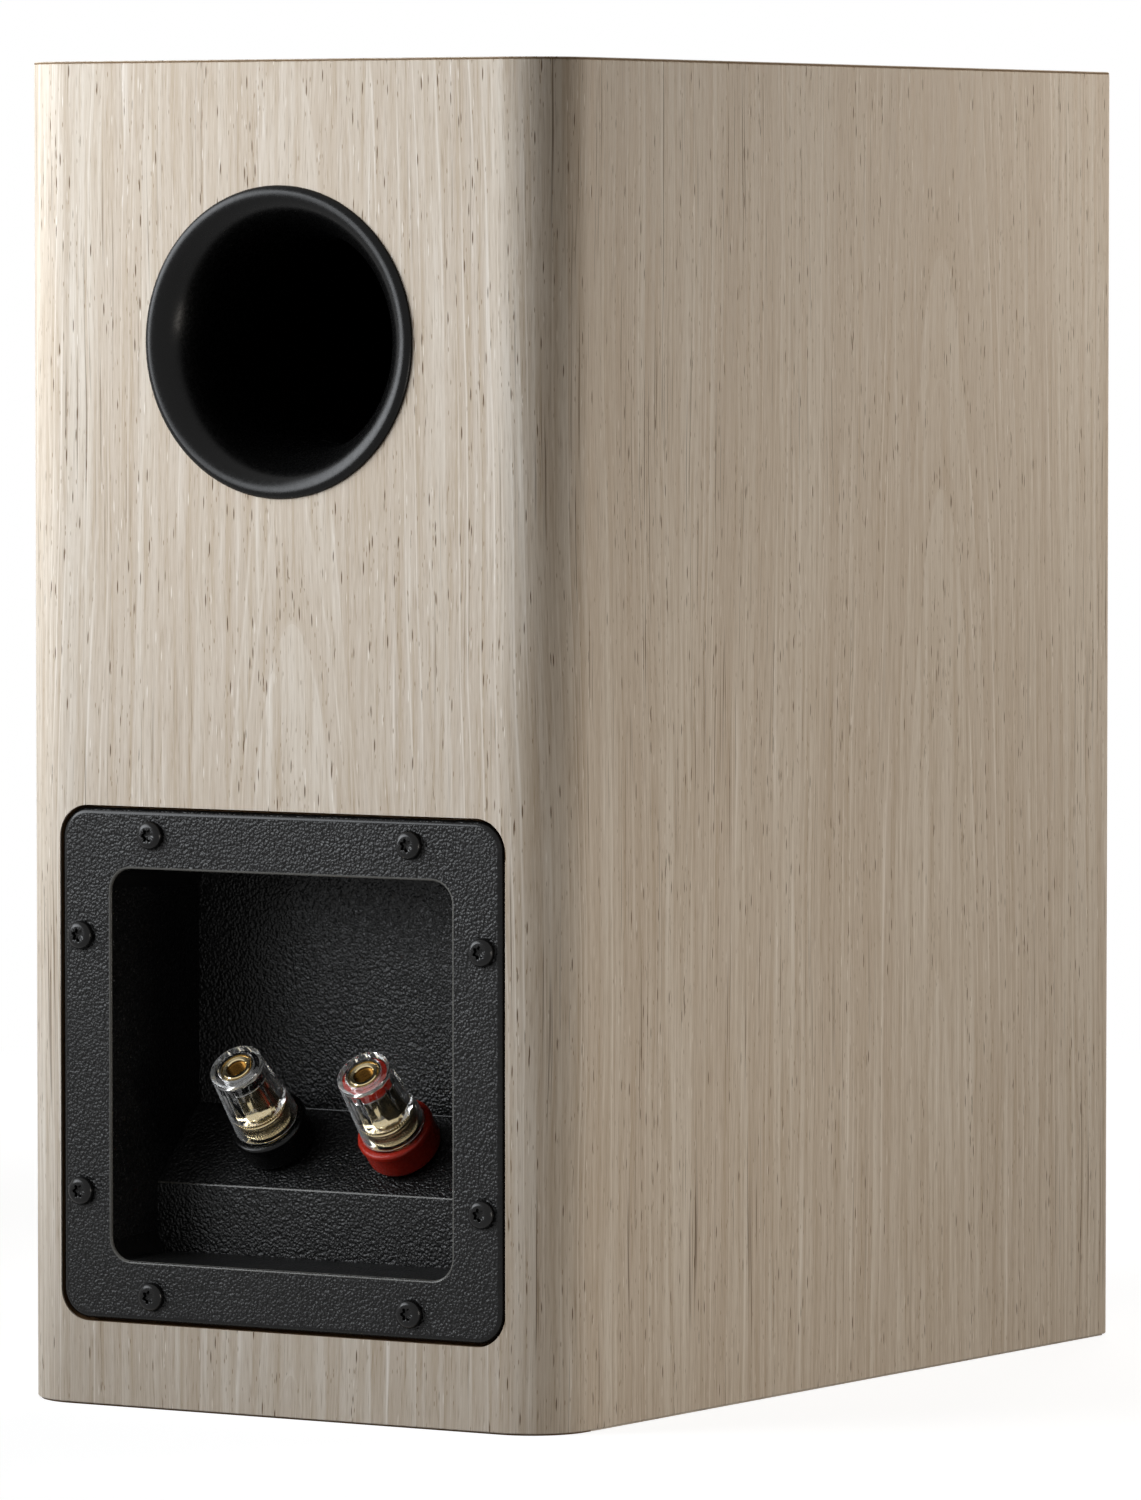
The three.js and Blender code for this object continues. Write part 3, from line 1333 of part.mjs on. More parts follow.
function woofer() {
  return groupAt(0, FRONT_Y, WOOFER_Z, [
    part('woofer_basket', wooferBasket(), castAluminium),
    part('woofer_surround', wooferSurround(), rubber),
    part('woofer_cone', wooferCone(), coneMaterial),
    part('woofer_dust_cap', wooferDustCap(), coneMaterial),
    part('woofer_voice_coil', wooferVoiceCoil(), copper),
    part('woofer_spider', wooferSpider(), spiderCloth),
    part('woofer_top_plate', wooferTopPlate(), platedSteel),
    part('woofer_magnet', wooferMagnet(), ferrite),
    part('woofer_yoke', wooferYoke(), platedSteel),
  ]);
}

function tweeter() {
  return groupAt(0, FRONT_Y, TWEETER_Z, [
    part('tweeter_faceplate', tweeterFaceplate(), satinBlack),
    part('tweeter_dome', tweeterDome(), silk),
    part('tweeter_surround', tweeterSurround(), silk),
    part('tweeter_voice_coil', tweeterVoiceCoil(), copper),
    part('tweeter_motor', tweeterMotor(), ferrite),
    part('tweeter_chamber', tweeterChamber(), blackPlastic),
  ]);
}

function crossover() {
  return [
    part('crossover_board', crossoverBoard(), circuitBoard),
    part('woofer_inductor', inductor(
      WOOFER_INDUCTOR_RADIUS, WOOFER_INDUCTOR_HEIGHT, WOOFER_INDUCTOR_PLACE), copper),
    part('tweeter_inductor', inductor(
      TWEETER_INDUCTOR_RADIUS, TWEETER_INDUCTOR_HEIGHT, TWEETER_INDUCTOR_PLACE), copper),
    part('crossover_capacitor', capacitor(), capacitorSleeve),
    part('crossover_resistor', resistor(), ceramic),
  ];
}

function leads() {
  return [
    part('black_input_lead', inputLead(POST_SPACING / 2), leadSheath),
    part('red_input_lead', inputLead(-POST_SPACING / 2), redPlastic),
    part('woofer_lead', wooferLead(), leadSheath),
    part('tweeter_lead', tweeterLead(), leadSheath),
  ];
}

const speaker = new THREE.Group();
speaker.name = 'bookshelf_speaker';
speaker.add(...cabinet(), port(), terminals(), woofer(), tweeter(), ...crossover(), ...leads());

export default speaker;
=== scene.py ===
import math

import bmesh
import bpy
from mathutils import Matrix, Vector
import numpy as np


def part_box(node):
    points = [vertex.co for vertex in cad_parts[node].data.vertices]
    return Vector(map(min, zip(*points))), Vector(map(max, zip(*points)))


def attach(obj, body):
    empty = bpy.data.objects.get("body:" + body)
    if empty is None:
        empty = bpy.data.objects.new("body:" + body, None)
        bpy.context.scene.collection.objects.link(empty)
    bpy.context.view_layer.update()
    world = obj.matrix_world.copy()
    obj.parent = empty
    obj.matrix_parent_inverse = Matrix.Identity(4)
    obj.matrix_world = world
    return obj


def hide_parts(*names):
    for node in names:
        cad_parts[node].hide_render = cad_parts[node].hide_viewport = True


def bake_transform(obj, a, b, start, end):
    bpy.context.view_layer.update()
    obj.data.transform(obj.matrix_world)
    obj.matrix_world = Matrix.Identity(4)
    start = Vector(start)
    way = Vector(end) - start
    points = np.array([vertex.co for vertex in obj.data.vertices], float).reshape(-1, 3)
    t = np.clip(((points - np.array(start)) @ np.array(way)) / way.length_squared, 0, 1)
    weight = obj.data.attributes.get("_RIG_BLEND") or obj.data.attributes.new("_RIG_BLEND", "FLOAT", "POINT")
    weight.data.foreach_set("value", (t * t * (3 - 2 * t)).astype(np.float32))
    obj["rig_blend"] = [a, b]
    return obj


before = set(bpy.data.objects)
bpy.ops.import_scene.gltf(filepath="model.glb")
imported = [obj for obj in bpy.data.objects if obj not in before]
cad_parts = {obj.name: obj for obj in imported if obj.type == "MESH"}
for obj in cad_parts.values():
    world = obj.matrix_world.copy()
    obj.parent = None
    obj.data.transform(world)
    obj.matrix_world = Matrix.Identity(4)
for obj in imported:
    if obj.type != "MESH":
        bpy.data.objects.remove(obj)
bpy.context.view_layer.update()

# ---- sizes, in millimetres

MM = 0.001
TURN = 2 * math.pi
CLEARANCE = 0.3
OVERCUT = 5

# Cabinet
FRONT_WIDTH = 215
REAR_WIDTH = 177.5
REAR_CORNER = 19
FRONT_EDGE = 3.5
BAFFLE_DEPTH = 22
REAR_BOARD_DEPTH = 19
VENEER = 0.6
SKIN = VENEER + CLEARANCE
VENEER_EASE = 0.25

# Reflex port
PORT_BODY_RADIUS = 39.6
PORT_BORE_RADIUS = 29
PORT_FLARE_DEPTH = 34
PORT_WALL = 2.5
PORT_SOCKET = 10
PORT_CREST = 2
PORT_INNER_RADIUS = 38
PORT_INNER_FLARE = 16

# Terminal cup
PLATE_RADIUS = 8.5
PLATE_DEPTH = 4
PLATE_EDGE = 1.6
REBATE_GAP = 0.8
MOUTH_WIDTH = 112.2
MOUTH_HEIGHT = 111
MOUTH_RADIUS = 6.5
MOUTH_LIP = 0.7
MOUTH_DRAFT = 1.6
LEDGE_DEPTH = 22.8
LEDGE_HEIGHT = 20.3
SHELF_MARGIN = 4.9
SHELF_EASE = 1.0
CUP_WALL = 3

# Cup screws
SCREW_SHAFT_RADIUS = 1.7
SCREW_HOLE_RELIEF = 0.6
SCREW_LENGTH = 18
SCREW_RIM = 0.45
TORX_RADIUS = 1.9
TORX_DEPTH = 1.3
TORX_LOBE = 0.17

# Binding posts, measured along the post from the shelf
POST_SPACING = 42
POST_BASE_RADIUS = 11.3
POST_BASE_HEIGHT = 10.2
POST_RECESS_RADIUS = 9.2
POST_RECESS_DEPTH = 2.5
POST_SPIGOT_RADIUS = 5.6
STUD_RADIUS = 3.6
STUD_TAIL = 15
STUD_TOP = 27.5
STUD_FLANGE_RADIUS = 8.2
STUD_FLANGE_AT = 8
STUD_FLANGE = 1.3
STUD_BORE = STUD_RADIUS + CLEARANCE
SOCKET_RADIUS = 2.05
SOCKET_DEPTH = 20
WASHER_RADIUS = 8.7
WASHER_AT = 9.6
WASHER_THICKNESS = 0.9
CAP_AT = 10.8
CAP_LENGTH = 23
CAP_TOP = CAP_AT + CAP_LENGTH
CAP_TOP_RADIUS = 8
CAP_BOTTOM_RADIUS = 9.6
CAP_COLLAR = CAP_TOP - 1.5
CAP_FLUTES = 14
INSERT_SPLINES = 16
INSERT_TEETH = 60
THREAD_RADIUS = 3.2
THREAD_PITCH = 0.5
MARKER_RADIUS = 6.7
MARKER_BORE = 5.35
MARKER_AT = 28.7
MARKER_TOP = MARKER_AT + 3

# Drivers, measured back from the face of the baffle
WOOFER_RADIUS = 89
WOOFER_FLANGE = 6.5
BASKET_RADIUS = 75.5
BASKET_INSIDE = BASKET_RADIUS - 3.5
CONE_RADIUS = 63.5
CONE_LAND = CONE_RADIUS - 3
CONE_DEPTH = 21
CONE_THICKNESS = 1
SURROUND_ROLL = 4.4
SURROUND_THICKNESS = 0.8
SURROUND_LEDGE = WOOFER_FLANGE - 1.3
ROLL_RADIUS = (BASKET_INSIDE + CONE_RADIUS + 0.5) / 2
DUST_CAP_RADIUS = 29
DUST_CAP_HEIGHT = 9
COIL_RADIUS = 18.6
NECK_RADIUS = COIL_RADIUS + 1
SPIDER_DEPTH = 41
SPIDER_RADIUS = 54
SPIDER_LAND = 5.5
SPIDER_THICKNESS = 0.8
SPIDER_FOLDS = 2
SPIDER_FOLD_HEIGHT = 1.4
TWEETER_RADIUS = 52
TWEETER_FLANGE = 5
TWEETER_BOSS_RADIUS = 37.5
WAVEGUIDE_RADIUS = 34
DOME_RADIUS = 14
DOME_HEIGHT = 4.6
DOME_DEPTH = 6
DOME_THICKNESS = 0.5
TWEETER_ROLL = 1.8
THROAT_RADIUS = DOME_RADIUS + 2 * TWEETER_ROLL + 0.6

# ---- places, from the frame


def box_mm(node):
    low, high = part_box(node)
    return low / MM, high / MM


def middle(node):
    low, high = box_mm(node)
    return (low + high) / 2


wrap_low, wrap_high = box_mm("veneer_wrap")
top_low, top_high = box_mm("top_veneer")
port_low, port_high = box_mm("port_flare")
cup_low, cup_high = box_mm("terminal_cup")
FRONT_Y = wrap_low.y
REAR_Y = wrap_high.y
BOARD_TOP = top_low.z
CABINET_TOP = top_high.z
SLOPE = (FRONT_WIDTH - REAR_WIDTH) / 2 / (REAR_Y - FRONT_Y)
STRETCH = math.hypot(1, SLOPE)
BAFFLE_BACK = FRONT_Y + BAFFLE_DEPTH
REAR_BOARD_Y = REAR_Y - SKIN - REAR_BOARD_DEPTH
PORT_Z = middle("port_flare").z
PORT_LIP_RADIUS = (port_high.x - port_low.x) / 2
PORT_LIP = port_high.y - REAR_Y
PLATE_Z = middle("terminal_cup").z
PLATE_WIDTH = cup_high.x - cup_low.x
PLATE_HEIGHT = cup_high.z - cup_low.z
RECESS_DEPTH = REAR_Y - cup_low.y - CUP_WALL
SHELF_LOW = -MOUTH_HEIGHT / 2 + LEDGE_HEIGHT
SHELF_RISE = RECESS_DEPTH - LEDGE_DEPTH
POST_SETBACK = (SHELF_MARGIN + POST_BASE_RADIUS) * math.sqrt(0.5)
WOOFER_Z = middle("woofer_basket").z
TWEETER_Z = middle("tweeter_faceplate").z
CUP_SCREWS = sorted(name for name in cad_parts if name.startswith("cup_screw"))


def axis_place(origin, direction):
    """A matrix that stands local +Z along a direction, with the origin at a point."""
    turn = Vector(direction).to_track_quat("Z", "Y").to_matrix().to_4x4()
    return Matrix.Translation(Vector(origin)) @ turn


def post_place(side):
    height = PLATE_Z + SHELF_LOW + POST_SETBACK
    return axis_place((side * POST_SPACING / 2, REAR_Y - LEDGE_DEPTH - POST_SETBACK, height), (0, 1, 1))


# ---- shapes: (vertices, faces) in millimetres


def arc(centre, radius, start, end, steps):
    """Points on a circle, or on an ellipse if radius is a pair."""
    wide, tall = radius if isinstance(radius, tuple) else (radius, radius)
    angles = [start + (end - start) * i / steps for i in range(steps + 1)]
    return [(centre[0] + wide * math.cos(a), centre[1] + tall * math.sin(a)) for a in angles]


def rounded(points, steps=8, closed=True):
    """A polygon or a profile whose corners (x, y, radius) are turned into arcs."""
    out = []
    for i, point in enumerate(points):
        here = Vector(point[:2])
        radius = point[2] if len(point) > 2 else 0
        if radius <= 0 or (not closed and i in (0, len(points) - 1)):
            out.append((here.x, here.y))
            continue
        back = Vector(points[i - 1][:2]) - here
        ahead = Vector(points[(i + 1) % len(points)][:2]) - here
        half = back.angle(ahead) / 2
        limits = [
            (0.49 if len(points[j % len(points)]) > 2 else 0.99) * side.length
            for j, side in ((i - 1, back), (i + 1, ahead))
        ]
        reach = min(radius / math.tan(half), *limits)
        bisector = (back.normalized() + ahead.normalized()).normalized()
        fitted = reach * math.tan(half)
        centre = here + bisector * (fitted / math.sin(half))
        start = here + back.normalized() * reach - centre
        end = here + ahead.normalized() * reach - centre
        first = math.atan2(start.y, start.x)
        sweep = math.remainder(math.atan2(end.y, end.x) - first, TURN)
        out.extend(arc(centre, fitted, first, first + sweep, steps))
    return out


def mirrored(right):
    """The points on the right, then their mirror images in the order back to the start."""
    return right + [(-x, *rest) for x, *rest in reversed(right)]


def rounded_rectangle(width, height, radius, steps=8):
    x, y = width / 2, height / 2
    return rounded([(-x, -y, radius), (x, -y, radius), (x, y, radius), (-x, y, radius)], steps)


def skin(rings, closed=False):
    """A skin over rings of points. A ring of one point is a pole, and open ends are capped."""
    vertices, starts, faces = [], [], []
    for points in rings:
        starts.append(len(vertices))
        vertices.extend(Vector(p) for p in points)
    spans = [(i, i + 1) for i in range(len(rings) - 1)]
    if closed:
        spans.append((len(rings) - 1, 0))
    for a, b in spans:
        count_a, count_b = len(rings[a]), len(rings[b])
        if count_a == count_b == 1:
            continue
        for i in range(max(count_a, count_b)):
            j = i + 1
            edge_a = starts[a] + i % count_a, starts[a] + j % count_a
            edge_b = starts[b] + j % count_b, starts[b] + i % count_b
            faces.append(tuple(dict.fromkeys(edge_a + edge_b)))
    if not closed:
        for index in (0, -1):
            if len(rings[index]) > 1:
                faces.append(tuple(range(starts[index], starts[index] + len(rings[index]))))
    return vertices, faces


def ring(reach, along, steps):
    """Points round local Z. Reach is a radius, or gives the radius at an angle."""
    turns = [TURN * i / steps for i in range(steps)]
    radii = [reach(a) if callable(reach) else reach for a in turns]
    return [(r * math.cos(a), r * math.sin(a), along) for r, a in zip(radii, turns)]


def pole(along):
    return [(0, 0, along)]


def revolved(profile, steps, wave=None):
    """A profile of (radius, along) turned about local Z: it ends on the axis or closes on itself.
    With a wave, each row also has a depth, and the wave gives what its radius gains at an angle."""
    rings = []
    for radius, along, *depth in profile:
        reach = radius
        if wave:
            def reach(angle):
                return radius + wave(radius, depth[0], angle)
        rings.append(ring(reach, along, steps) if radius > 1e-6 else pole(along))
    return skin(rings, closed=profile[0][0] > 1e-6 and profile[-1][0] > 1e-6)


def up(x, y, level):
    return (x, y, level)


def back(x, y, level):
    return (x, level, y)


def across(x, y, level):
    return (level, x, y)


def prism(outline, low, high, lift=back):
    """An outline swept between two levels; lift places (x, y, level) in space."""
    return skin([[lift(x, y, level) for x, y in outline] for level in (low, high)])


def placed(shape, place):
    vertices, faces = shape
    return [place @ Vector(v) for v in vertices], faces


def moved(shape, x=0, z=0):
    return placed(shape, Matrix.Translation((x, 0, z)))


def drill(radius, low, high, z, x=0, steps=128):
    """A round cutter along Y."""
    return moved(prism(arc((0, 0), radius, 0, TURN * (1 - 1 / steps), steps - 1), low, high), x, z)


def screw_drills(low, high, steps, drop=0):
    radius = SCREW_SHAFT_RADIUS + SCREW_HOLE_RELIEF
    spots = [middle(node) for node in CUP_SCREWS]
    return [drill(radius, low, high, spot.z - drop, spot.x, steps) for spot in spots]


def linked(name, data):
    thing = bpy.data.objects.new(name, data)
    bpy.context.scene.collection.objects.link(thing)
    return thing


def mesh_of(name, shape, scale=1):
    """A mesh with its normals outward."""
    mesh = bpy.data.meshes.new(name)
    mesh.from_pydata([tuple(Vector(v) * scale) for v in shape[0]], [], shape[1])
    work = bmesh.new()
    work.from_mesh(mesh)
    bmesh.ops.recalc_face_normals(work, faces=work.faces)
    work.to_mesh(mesh)
    work.free()
    return mesh


def combined(shape, others, operation="DIFFERENCE"):
    """Cuts the other shapes from a shape, or joins or intersects them with it."""
    target, *tools = [linked("temporary", mesh_of("temporary", each)) for each in (shape, *others)]
    for tool in tools:
        modifier = target.modifiers.new("combine", "BOOLEAN")
        modifier.operation = operation
        modifier.solver = "EXACT"
        modifier.object = tool
    depsgraph = bpy.context.evaluated_depsgraph_get()
    mesh = bpy.data.meshes.new_from_object(target.evaluated_get(depsgraph))
    for thing in (target, *tools):
        bpy.data.objects.remove(thing)
    return [v.co.copy() for v in mesh.vertices], [tuple(p.vertices) for p in mesh.polygons]


# ---- pieces


def piece(name, shape, finish, slot, body="cabinet", replaces=(), place=Matrix(), sharp=32):
    """Makes a shape into an object in metres that rides on a body and has a finish."""
    mesh = mesh_of(name, placed(shape, place), MM)
    mesh.shade_smooth()
    mesh.set_sharp_from_angle(angle=math.radians(sharp))
    mesh.materials.append(finish)
    thing = linked(name, mesh)
    if body:
        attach(thing, body)
    if replaces:
        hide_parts(*replaces)
    return thing


def flatten_shading(thing):
    """Large flat faces keep their own normals beside small rounded edges."""
    modifier = thing.modifiers.new("flat faces", "WEIGHTED_NORMAL")
    modifier.keep_sharp = True
    modifier.weight = 80


def lay_grain(thing, across_and_along):
    """Gives each corner its place in the veneer, in metres across and along the grain."""
    layer = thing.data.uv_layers.new(name="grain")
    places = [across_and_along(v.co / MM) for v in thing.data.vertices]
    for loop in thing.data.loops:
        u, v = places[loop.vertex_index]
        layer.data[loop.index].uv = (u * MM, v * MM)


def paint_faces(thing, finish, chosen):
    """Gives a second finish to the faces that are chosen."""
    thing.data.materials.append(finish)
    for face in thing.data.polygons:
        if chosen(face):
            face.material_index = 1


# ---- finishes


class Nodes:
    """A node tree with short ways to add and join its nodes."""

    def __init__(self, tree):
        self.nodes = tree.nodes
        self.links = tree.links

    def fill(self, node, inputs):
        """Sets or links a node's inputs. A colour gets its alpha."""
        for key, value in inputs.items():
            socket = node.inputs[key]
            if isinstance(value, bpy.types.NodeSocket):
                self.links.new(value, socket)
            elif socket.type == "RGBA":
                socket.default_value = (*value, 1)
            else:
                socket.default_value = value
        return node

    def add(self, kind, inputs=None, **settings):
        node = self.nodes.new("ShaderNode" + kind)
        for key, value in settings.items():
            setattr(node, key, value)
        return self.fill(node, inputs or {})

    def math(self, operation, a, b=0.0, c=0.0, clamp=False):
        inputs = {0: a, 1: b, 2: c}
        return self.add("Math", inputs, operation=operation, use_clamp=clamp).outputs[0]

    def times(self, a, b, plus=0.0):
        return self.math("MULTIPLY_ADD", a, b, plus)

    def swing(self, value, size, base):
        """Moves a base by up to half a size to either side."""
        return self.times(self.math("SUBTRACT", value, 0.5), size, base)

    def span(self, value, low, high, to_low=0.0, to_high=1.0):
        """A smooth step between two values."""
        inputs = {"Value": value, "From Min": low, "From Max": high, "To Min": to_low, "To Max": to_high}
        return self.add("MapRange", inputs, interpolation_type="SMOOTHSTEP").outputs[0]

    def mix(self, factor, a, b):
        inputs = {0: factor, 6: a, 7: b}
        return self.add("Mix", inputs, data_type="RGBA", blend_type="MIX").outputs[2]

    def sum(self, a, b):
        return self.add("VectorMath", {0: a, 1: b}).outputs[0]

    def joined(self, x, y, z):
        return self.add("CombineXYZ", {0: x, 1: y, 2: z}).outputs[0]

    def stretched(self, vector, x, y, z=1.0, shift=(0, 0)):
        inputs = {"Vector": vector, "Scale": (x, y, z), "Location": (*shift, 0)}
        return self.add("Mapping", inputs).outputs[0]

    def noise(self, vector, scale=1.0, detail=2.0, roughness=0.5):
        inputs = {"Vector": vector, "Scale": scale, "Detail": detail, "Roughness": roughness}
        return self.add("TexNoise", inputs).outputs[0]

    def drawn_out(self, vector, x, y, shift=(0, 0), detail=2.0, roughness=0.5):
        """Noise with its own scale across the grain and along it."""
        return self.noise(self.stretched(vector, x, y, shift=shift), 1.0, detail, roughness)

    def cells(self, vector, scale=1.0, feature="F1"):
        return self.add("TexVoronoi", {"Vector": vector, "Scale": scale}, feature=feature)

    def waves(self, vector, scale, direction, inputs=None):
        inputs = {"Vector": vector, "Scale": scale, **(inputs or {})}
        return self.add("TexWave", inputs, bands_direction=direction).outputs[1]

    def object_place(self):
        return self.add("TexCoord").outputs["Object"]

    def seen_or_reflected(self):
        """1 for rays from the camera, off gloss or through glass."""
        path = self.add("LightPath").outputs
        seen = self.math("MAXIMUM", path["Is Camera Ray"], path["Is Glossy Ray"])
        return self.math("MAXIMUM", seen, path["Is Transmission Ray"])

    def mix_shaders(self, share, a, b, output):
        mixed = self.add("MixShader", {0: share, 1: a.outputs[0], 2: b.outputs[0]})
        self.fill(self.nodes[output], {0: mixed.outputs[0]})


class Finish(Nodes):
    """A material on a Principled shader."""

    def __init__(self, name):
        self.material = bpy.data.materials.new(name)
        self.material.use_nodes = True
        super().__init__(self.material.node_tree)
        self.shader = self.nodes["Principled BSDF"]

    def done(self, colour, rough, specular=0.5, bump=None, **others):
        """Fills the shader's sockets and gives the material. A bump is (height, strength, distance)."""
        inputs = {"Base Color": colour, "Roughness": rough, "Specular IOR Level": specular}
        inputs.update({name.replace("_", " "): value for name, value in others.items()})
        if bump:
            bump = dict(zip(("Height", "Strength", "Distance"), bump))
            inputs["Normal"] = self.add("Bump", bump).outputs[0]
        self.fill(self.shader, inputs)
        return self.material


def shade(*levels):
    """A grey or a colour given as 0 to 255 on a screen, as the shader takes it."""
    levels = levels * 3 if len(levels) == 1 else levels
    return tuple((v / 255 / 12.92) if v <= 10 else ((v / 255 + 0.055) / 1.055) ** 2.4 for v in levels)


def tint(colour, times, plus=0.0):
    return tuple(min(1, c * times + plus) for c in colour)


OAK_LIGHT = shade(217, 207, 193)
OAK_DARK = shade(203, 190, 174)
OAK_WHITE = shade(241, 234, 224)
OAK_DEEP = shade(182, 164, 141)
OAK_BROWN = shade(140, 116, 88)
OAK_PORE = shade(94, 71, 44)
RINGS_PER_METRE = 380
RING_SLOPE = 0.035
HEART_SPACING = 0.14


def oak(name, seed=0.0, heart=0.0, mapped=True):
    """Bleached oak, cut flat. A leaf of veneer is cut past the pith, so its rings stand far apart at its
    heart, where they make tall faint arches, and close together at its edges. It lies on the UV map
    "grain", or flat on the object's own X and Y."""
    made = Finish(name)
    if mapped:
        grain = made.add("UVMap", uv_map="grain").outputs[0]
    else:
        grain = made.stretched(made.object_place(), 1, 1, 0)
    apart = made.add("SeparateXYZ", {0: grain})
    across, along = apart.outputs[0], apart.outputs[1]
    seeded = made.sum(grain, (seed, seed * 0.7, seed))
    shifted = made.swing(made.drawn_out(seeded, 9, 2.6), 0.012, across)
    shifted = made.swing(made.drawn_out(seeded, 60, 9, (3, 1)), 0.003, shifted)
    plane = made.joined(shifted, along, seed)

    # The rings, from how far each point lies from the pith
    off = made.math("PINGPONG", made.math("ADD", shifted, 10 * HEART_SPACING - heart), HEART_SPACING)
    depth = made.swing(made.drawn_out(seeded, 7, 3.4, (5, 8), detail=1.0), 0.013, 0.03)
    depth = made.times(along, RING_SLOPE, depth)
    radius = made.math("SQRT", made.times(off, off, made.times(depth, depth)))
    steep = made.span(made.math("DIVIDE", off, radius), 0.05, 0.55)
    rings = made.joined(radius, along, seed + 3)
    uneven = made.drawn_out(rings, 110, 0.7, detail=1.0)
    count = made.times(uneven, 3.0, made.times(radius, RINGS_PER_METRE))
    phase = made.math("FRACT", count)
    lot = made.add("TexWhiteNoise", {"W": made.math("FLOOR", count)}, noise_dimensions="1D").outputs[0]

    # Tones of the rings, streaks and fibres
    early = made.times(made.span(phase, 0.7, 0.15), made.span(phase, 0.0, 0.05))
    tone = made.times(lot, 0.25, made.drawn_out(rings, 60, 1.2, (2, 3)))
    streaks = made.drawn_out(plane, 420, 9, (2, 6), 3.0, 0.65)
    fibres = made.drawn_out(plane, 2400, 90, (2, 9), 2.0, 0.7)
    figure = made.drawn_out(plane, 170, 2.4, (4, 4))
    colour = made.mix(made.span(tone, 0.42, 0.82), OAK_DARK, OAK_LIGHT)
    colour = made.mix(made.span(streaks, 0.60, 0.3, 0.0, 0.75), colour, OAK_DEEP)
    colour = made.mix(made.times(early, 0.22), colour, OAK_DEEP)
    colour = made.mix(made.span(fibres, 0.48, 0.25, 0.0, 0.5), colour, OAK_BROWN)
    colour = made.mix(made.span(fibres, 0.56, 0.75, 0.0, 0.35), colour, OAK_WHITE)

    # Pale lines at the ends of the rings
    edge = made.span(made.math("PINGPONG", count, 0.5), 0.14, 0.0)
    strength = made.times(made.span(figure, 0.46, 0.66, 0.04, 0.5), made.times(steep, 0.85, 0.15))
    colour = made.mix(made.times(edge, strength), colour, OAK_WHITE)
    colour = made.mix(made.span(streaks, 0.58, 0.76, 0.0, 0.6), colour, OAK_WHITE)

    # Long fine vessels, away from the heart
    vessels = made.span(made.drawn_out(plane, 1500, 13, (6, 1), detail=1.0), 0.40, 0.28)
    vessels = made.times(vessels, made.span(made.drawn_out(plane, 150, 12, (3, 9)), 0.45, 0.6))
    vessels = made.times(vessels, made.span(off, 0.015, 0.10, 0.15, 0.85))

    # Pores, open or filled white, crowded in the early wood
    clusters = made.span(made.drawn_out(plane, 75, 3.0, (4, 7)), 0.38, 0.6, 0.1, 1.0)
    crowd = made.times(made.times(early, 0.9, 0.1), clusters)
    open_pores = pores(made, plane, 1000, 100, 0.2, made.times(crowd, -0.85, 0.98))
    short_pores = pores(made, plane, 1300, 240, 0.2, made.times(crowd, -0.9, 0.97), 3.3)
    limed = pores(made, plane, 1200, 90, 0.17, made.times(crowd, -0.45, 0.93), 8.1)
    colour = made.mix(made.times(limed, 0.8), colour, OAK_WHITE)
    colour = made.mix(vessels, colour, OAK_PORE)
    colour = made.mix(made.times(short_pores, 0.7), colour, OAK_BROWN)
    colour = made.mix(made.times(open_pores, 0.95), colour, OAK_PORE)
    height = made.times(short_pores, -0.6, made.math("SUBTRACT", fibres, open_pores))
    height = made.times(vessels, -0.6, height)
    gloss = made.span(streaks, 0.3, 0.7, 0.42, 0.58)
    return made.done(colour, gloss, 0.13, (height, 0.45, 0.00015))


def pores(made, plane, per_metre, along, size, threshold, shift=0.0):
    """Short dashes along the grain: one in each random cell whose lot is over the threshold."""
    cell = made.cells(made.stretched(plane, per_metre, along, shift=(shift, shift)))
    near = made.span(cell.outputs["Distance"], size * 1.25, size * 0.5)
    lot = made.add("SeparateColor", {0: cell.outputs["Color"]}).outputs[0]
    return made.times(near, made.math("GREATER_THAN", lot, threshold))


# A pale colour for the edges of the cup's mouth and shelf: a painted highlight.
PAINTED_EDGE_HIGHLIGHT = shade(104, 103, 99)


def leather_grain(name, colour, rough=0.4):
    """Moulded plastic with a fine pebbled texture, its crests paler with a painted highlight, smooth on its
    edges.
    The attribute "flat" says where it is flat (1), an edge (0) or an edge of mouth or shelf with a painted
    highlight (-1)."""
    made = Finish(name)
    place = made.object_place()
    flat = made.add("Attribute", attribute_name="flat").outputs["Fac"]
    bent = made.sum(place, made.times(made.noise(place, 700, 1.0), 0.0006))
    pebbles = made.cells(bent, 1200, feature="SMOOTH_F1")
    pebbles.inputs["Smoothness"].default_value = 0.5
    height = made.times(pebbles.outputs["Distance"], -1.0, made.noise(bent, 1300, 1.0))
    # The crests of the pebbles paler: a painted highlight.
    crest_highlighted = made.mix(made.span(height, -0.1, 0.4), colour, tint(colour, 2.2, 0.003))
    gloss = made.span(made.noise(place, 60, 3.0), 0.3, 0.7, rough - 0.05, rough + 0.05)
    strength = made.math("MULTIPLY", flat, 0.75, clamp=True)
    # The edges of mouth and shelf (-1) turn pale: a painted highlight.
    colour = made.mix(made.span(flat, 0, -1, 0.0, 0.8), crest_highlighted, PAINTED_EDGE_HIGHLIGHT)
    gloss = made.times(gloss, made.span(flat, 0, 1, 0.55, 1))
    return made.done(colour, gloss, 0.18, (height, strength, 0.0004))


def satin(name, colour, rough, specular=0.5, fleck=0.12, marked=0.06):
    """Smooth moulded plastic: faint flow marks and handling marks in the gloss."""
    made = Finish(name)
    place = made.object_place()
    flow = made.noise(made.stretched(place, 40, 40, 110), detail=3.0)
    marks = made.noise(place, 900)
    colour = made.mix(flow, tint(colour, 1 - fleck), tint(colour, 1 + fleck, 0.001))
    gloss = made.span(marks, 0.3, 0.7, rough * 0.85, rough * 1.15)
    return made.done(colour, gloss, specular, (marks, marked, 0.00005))


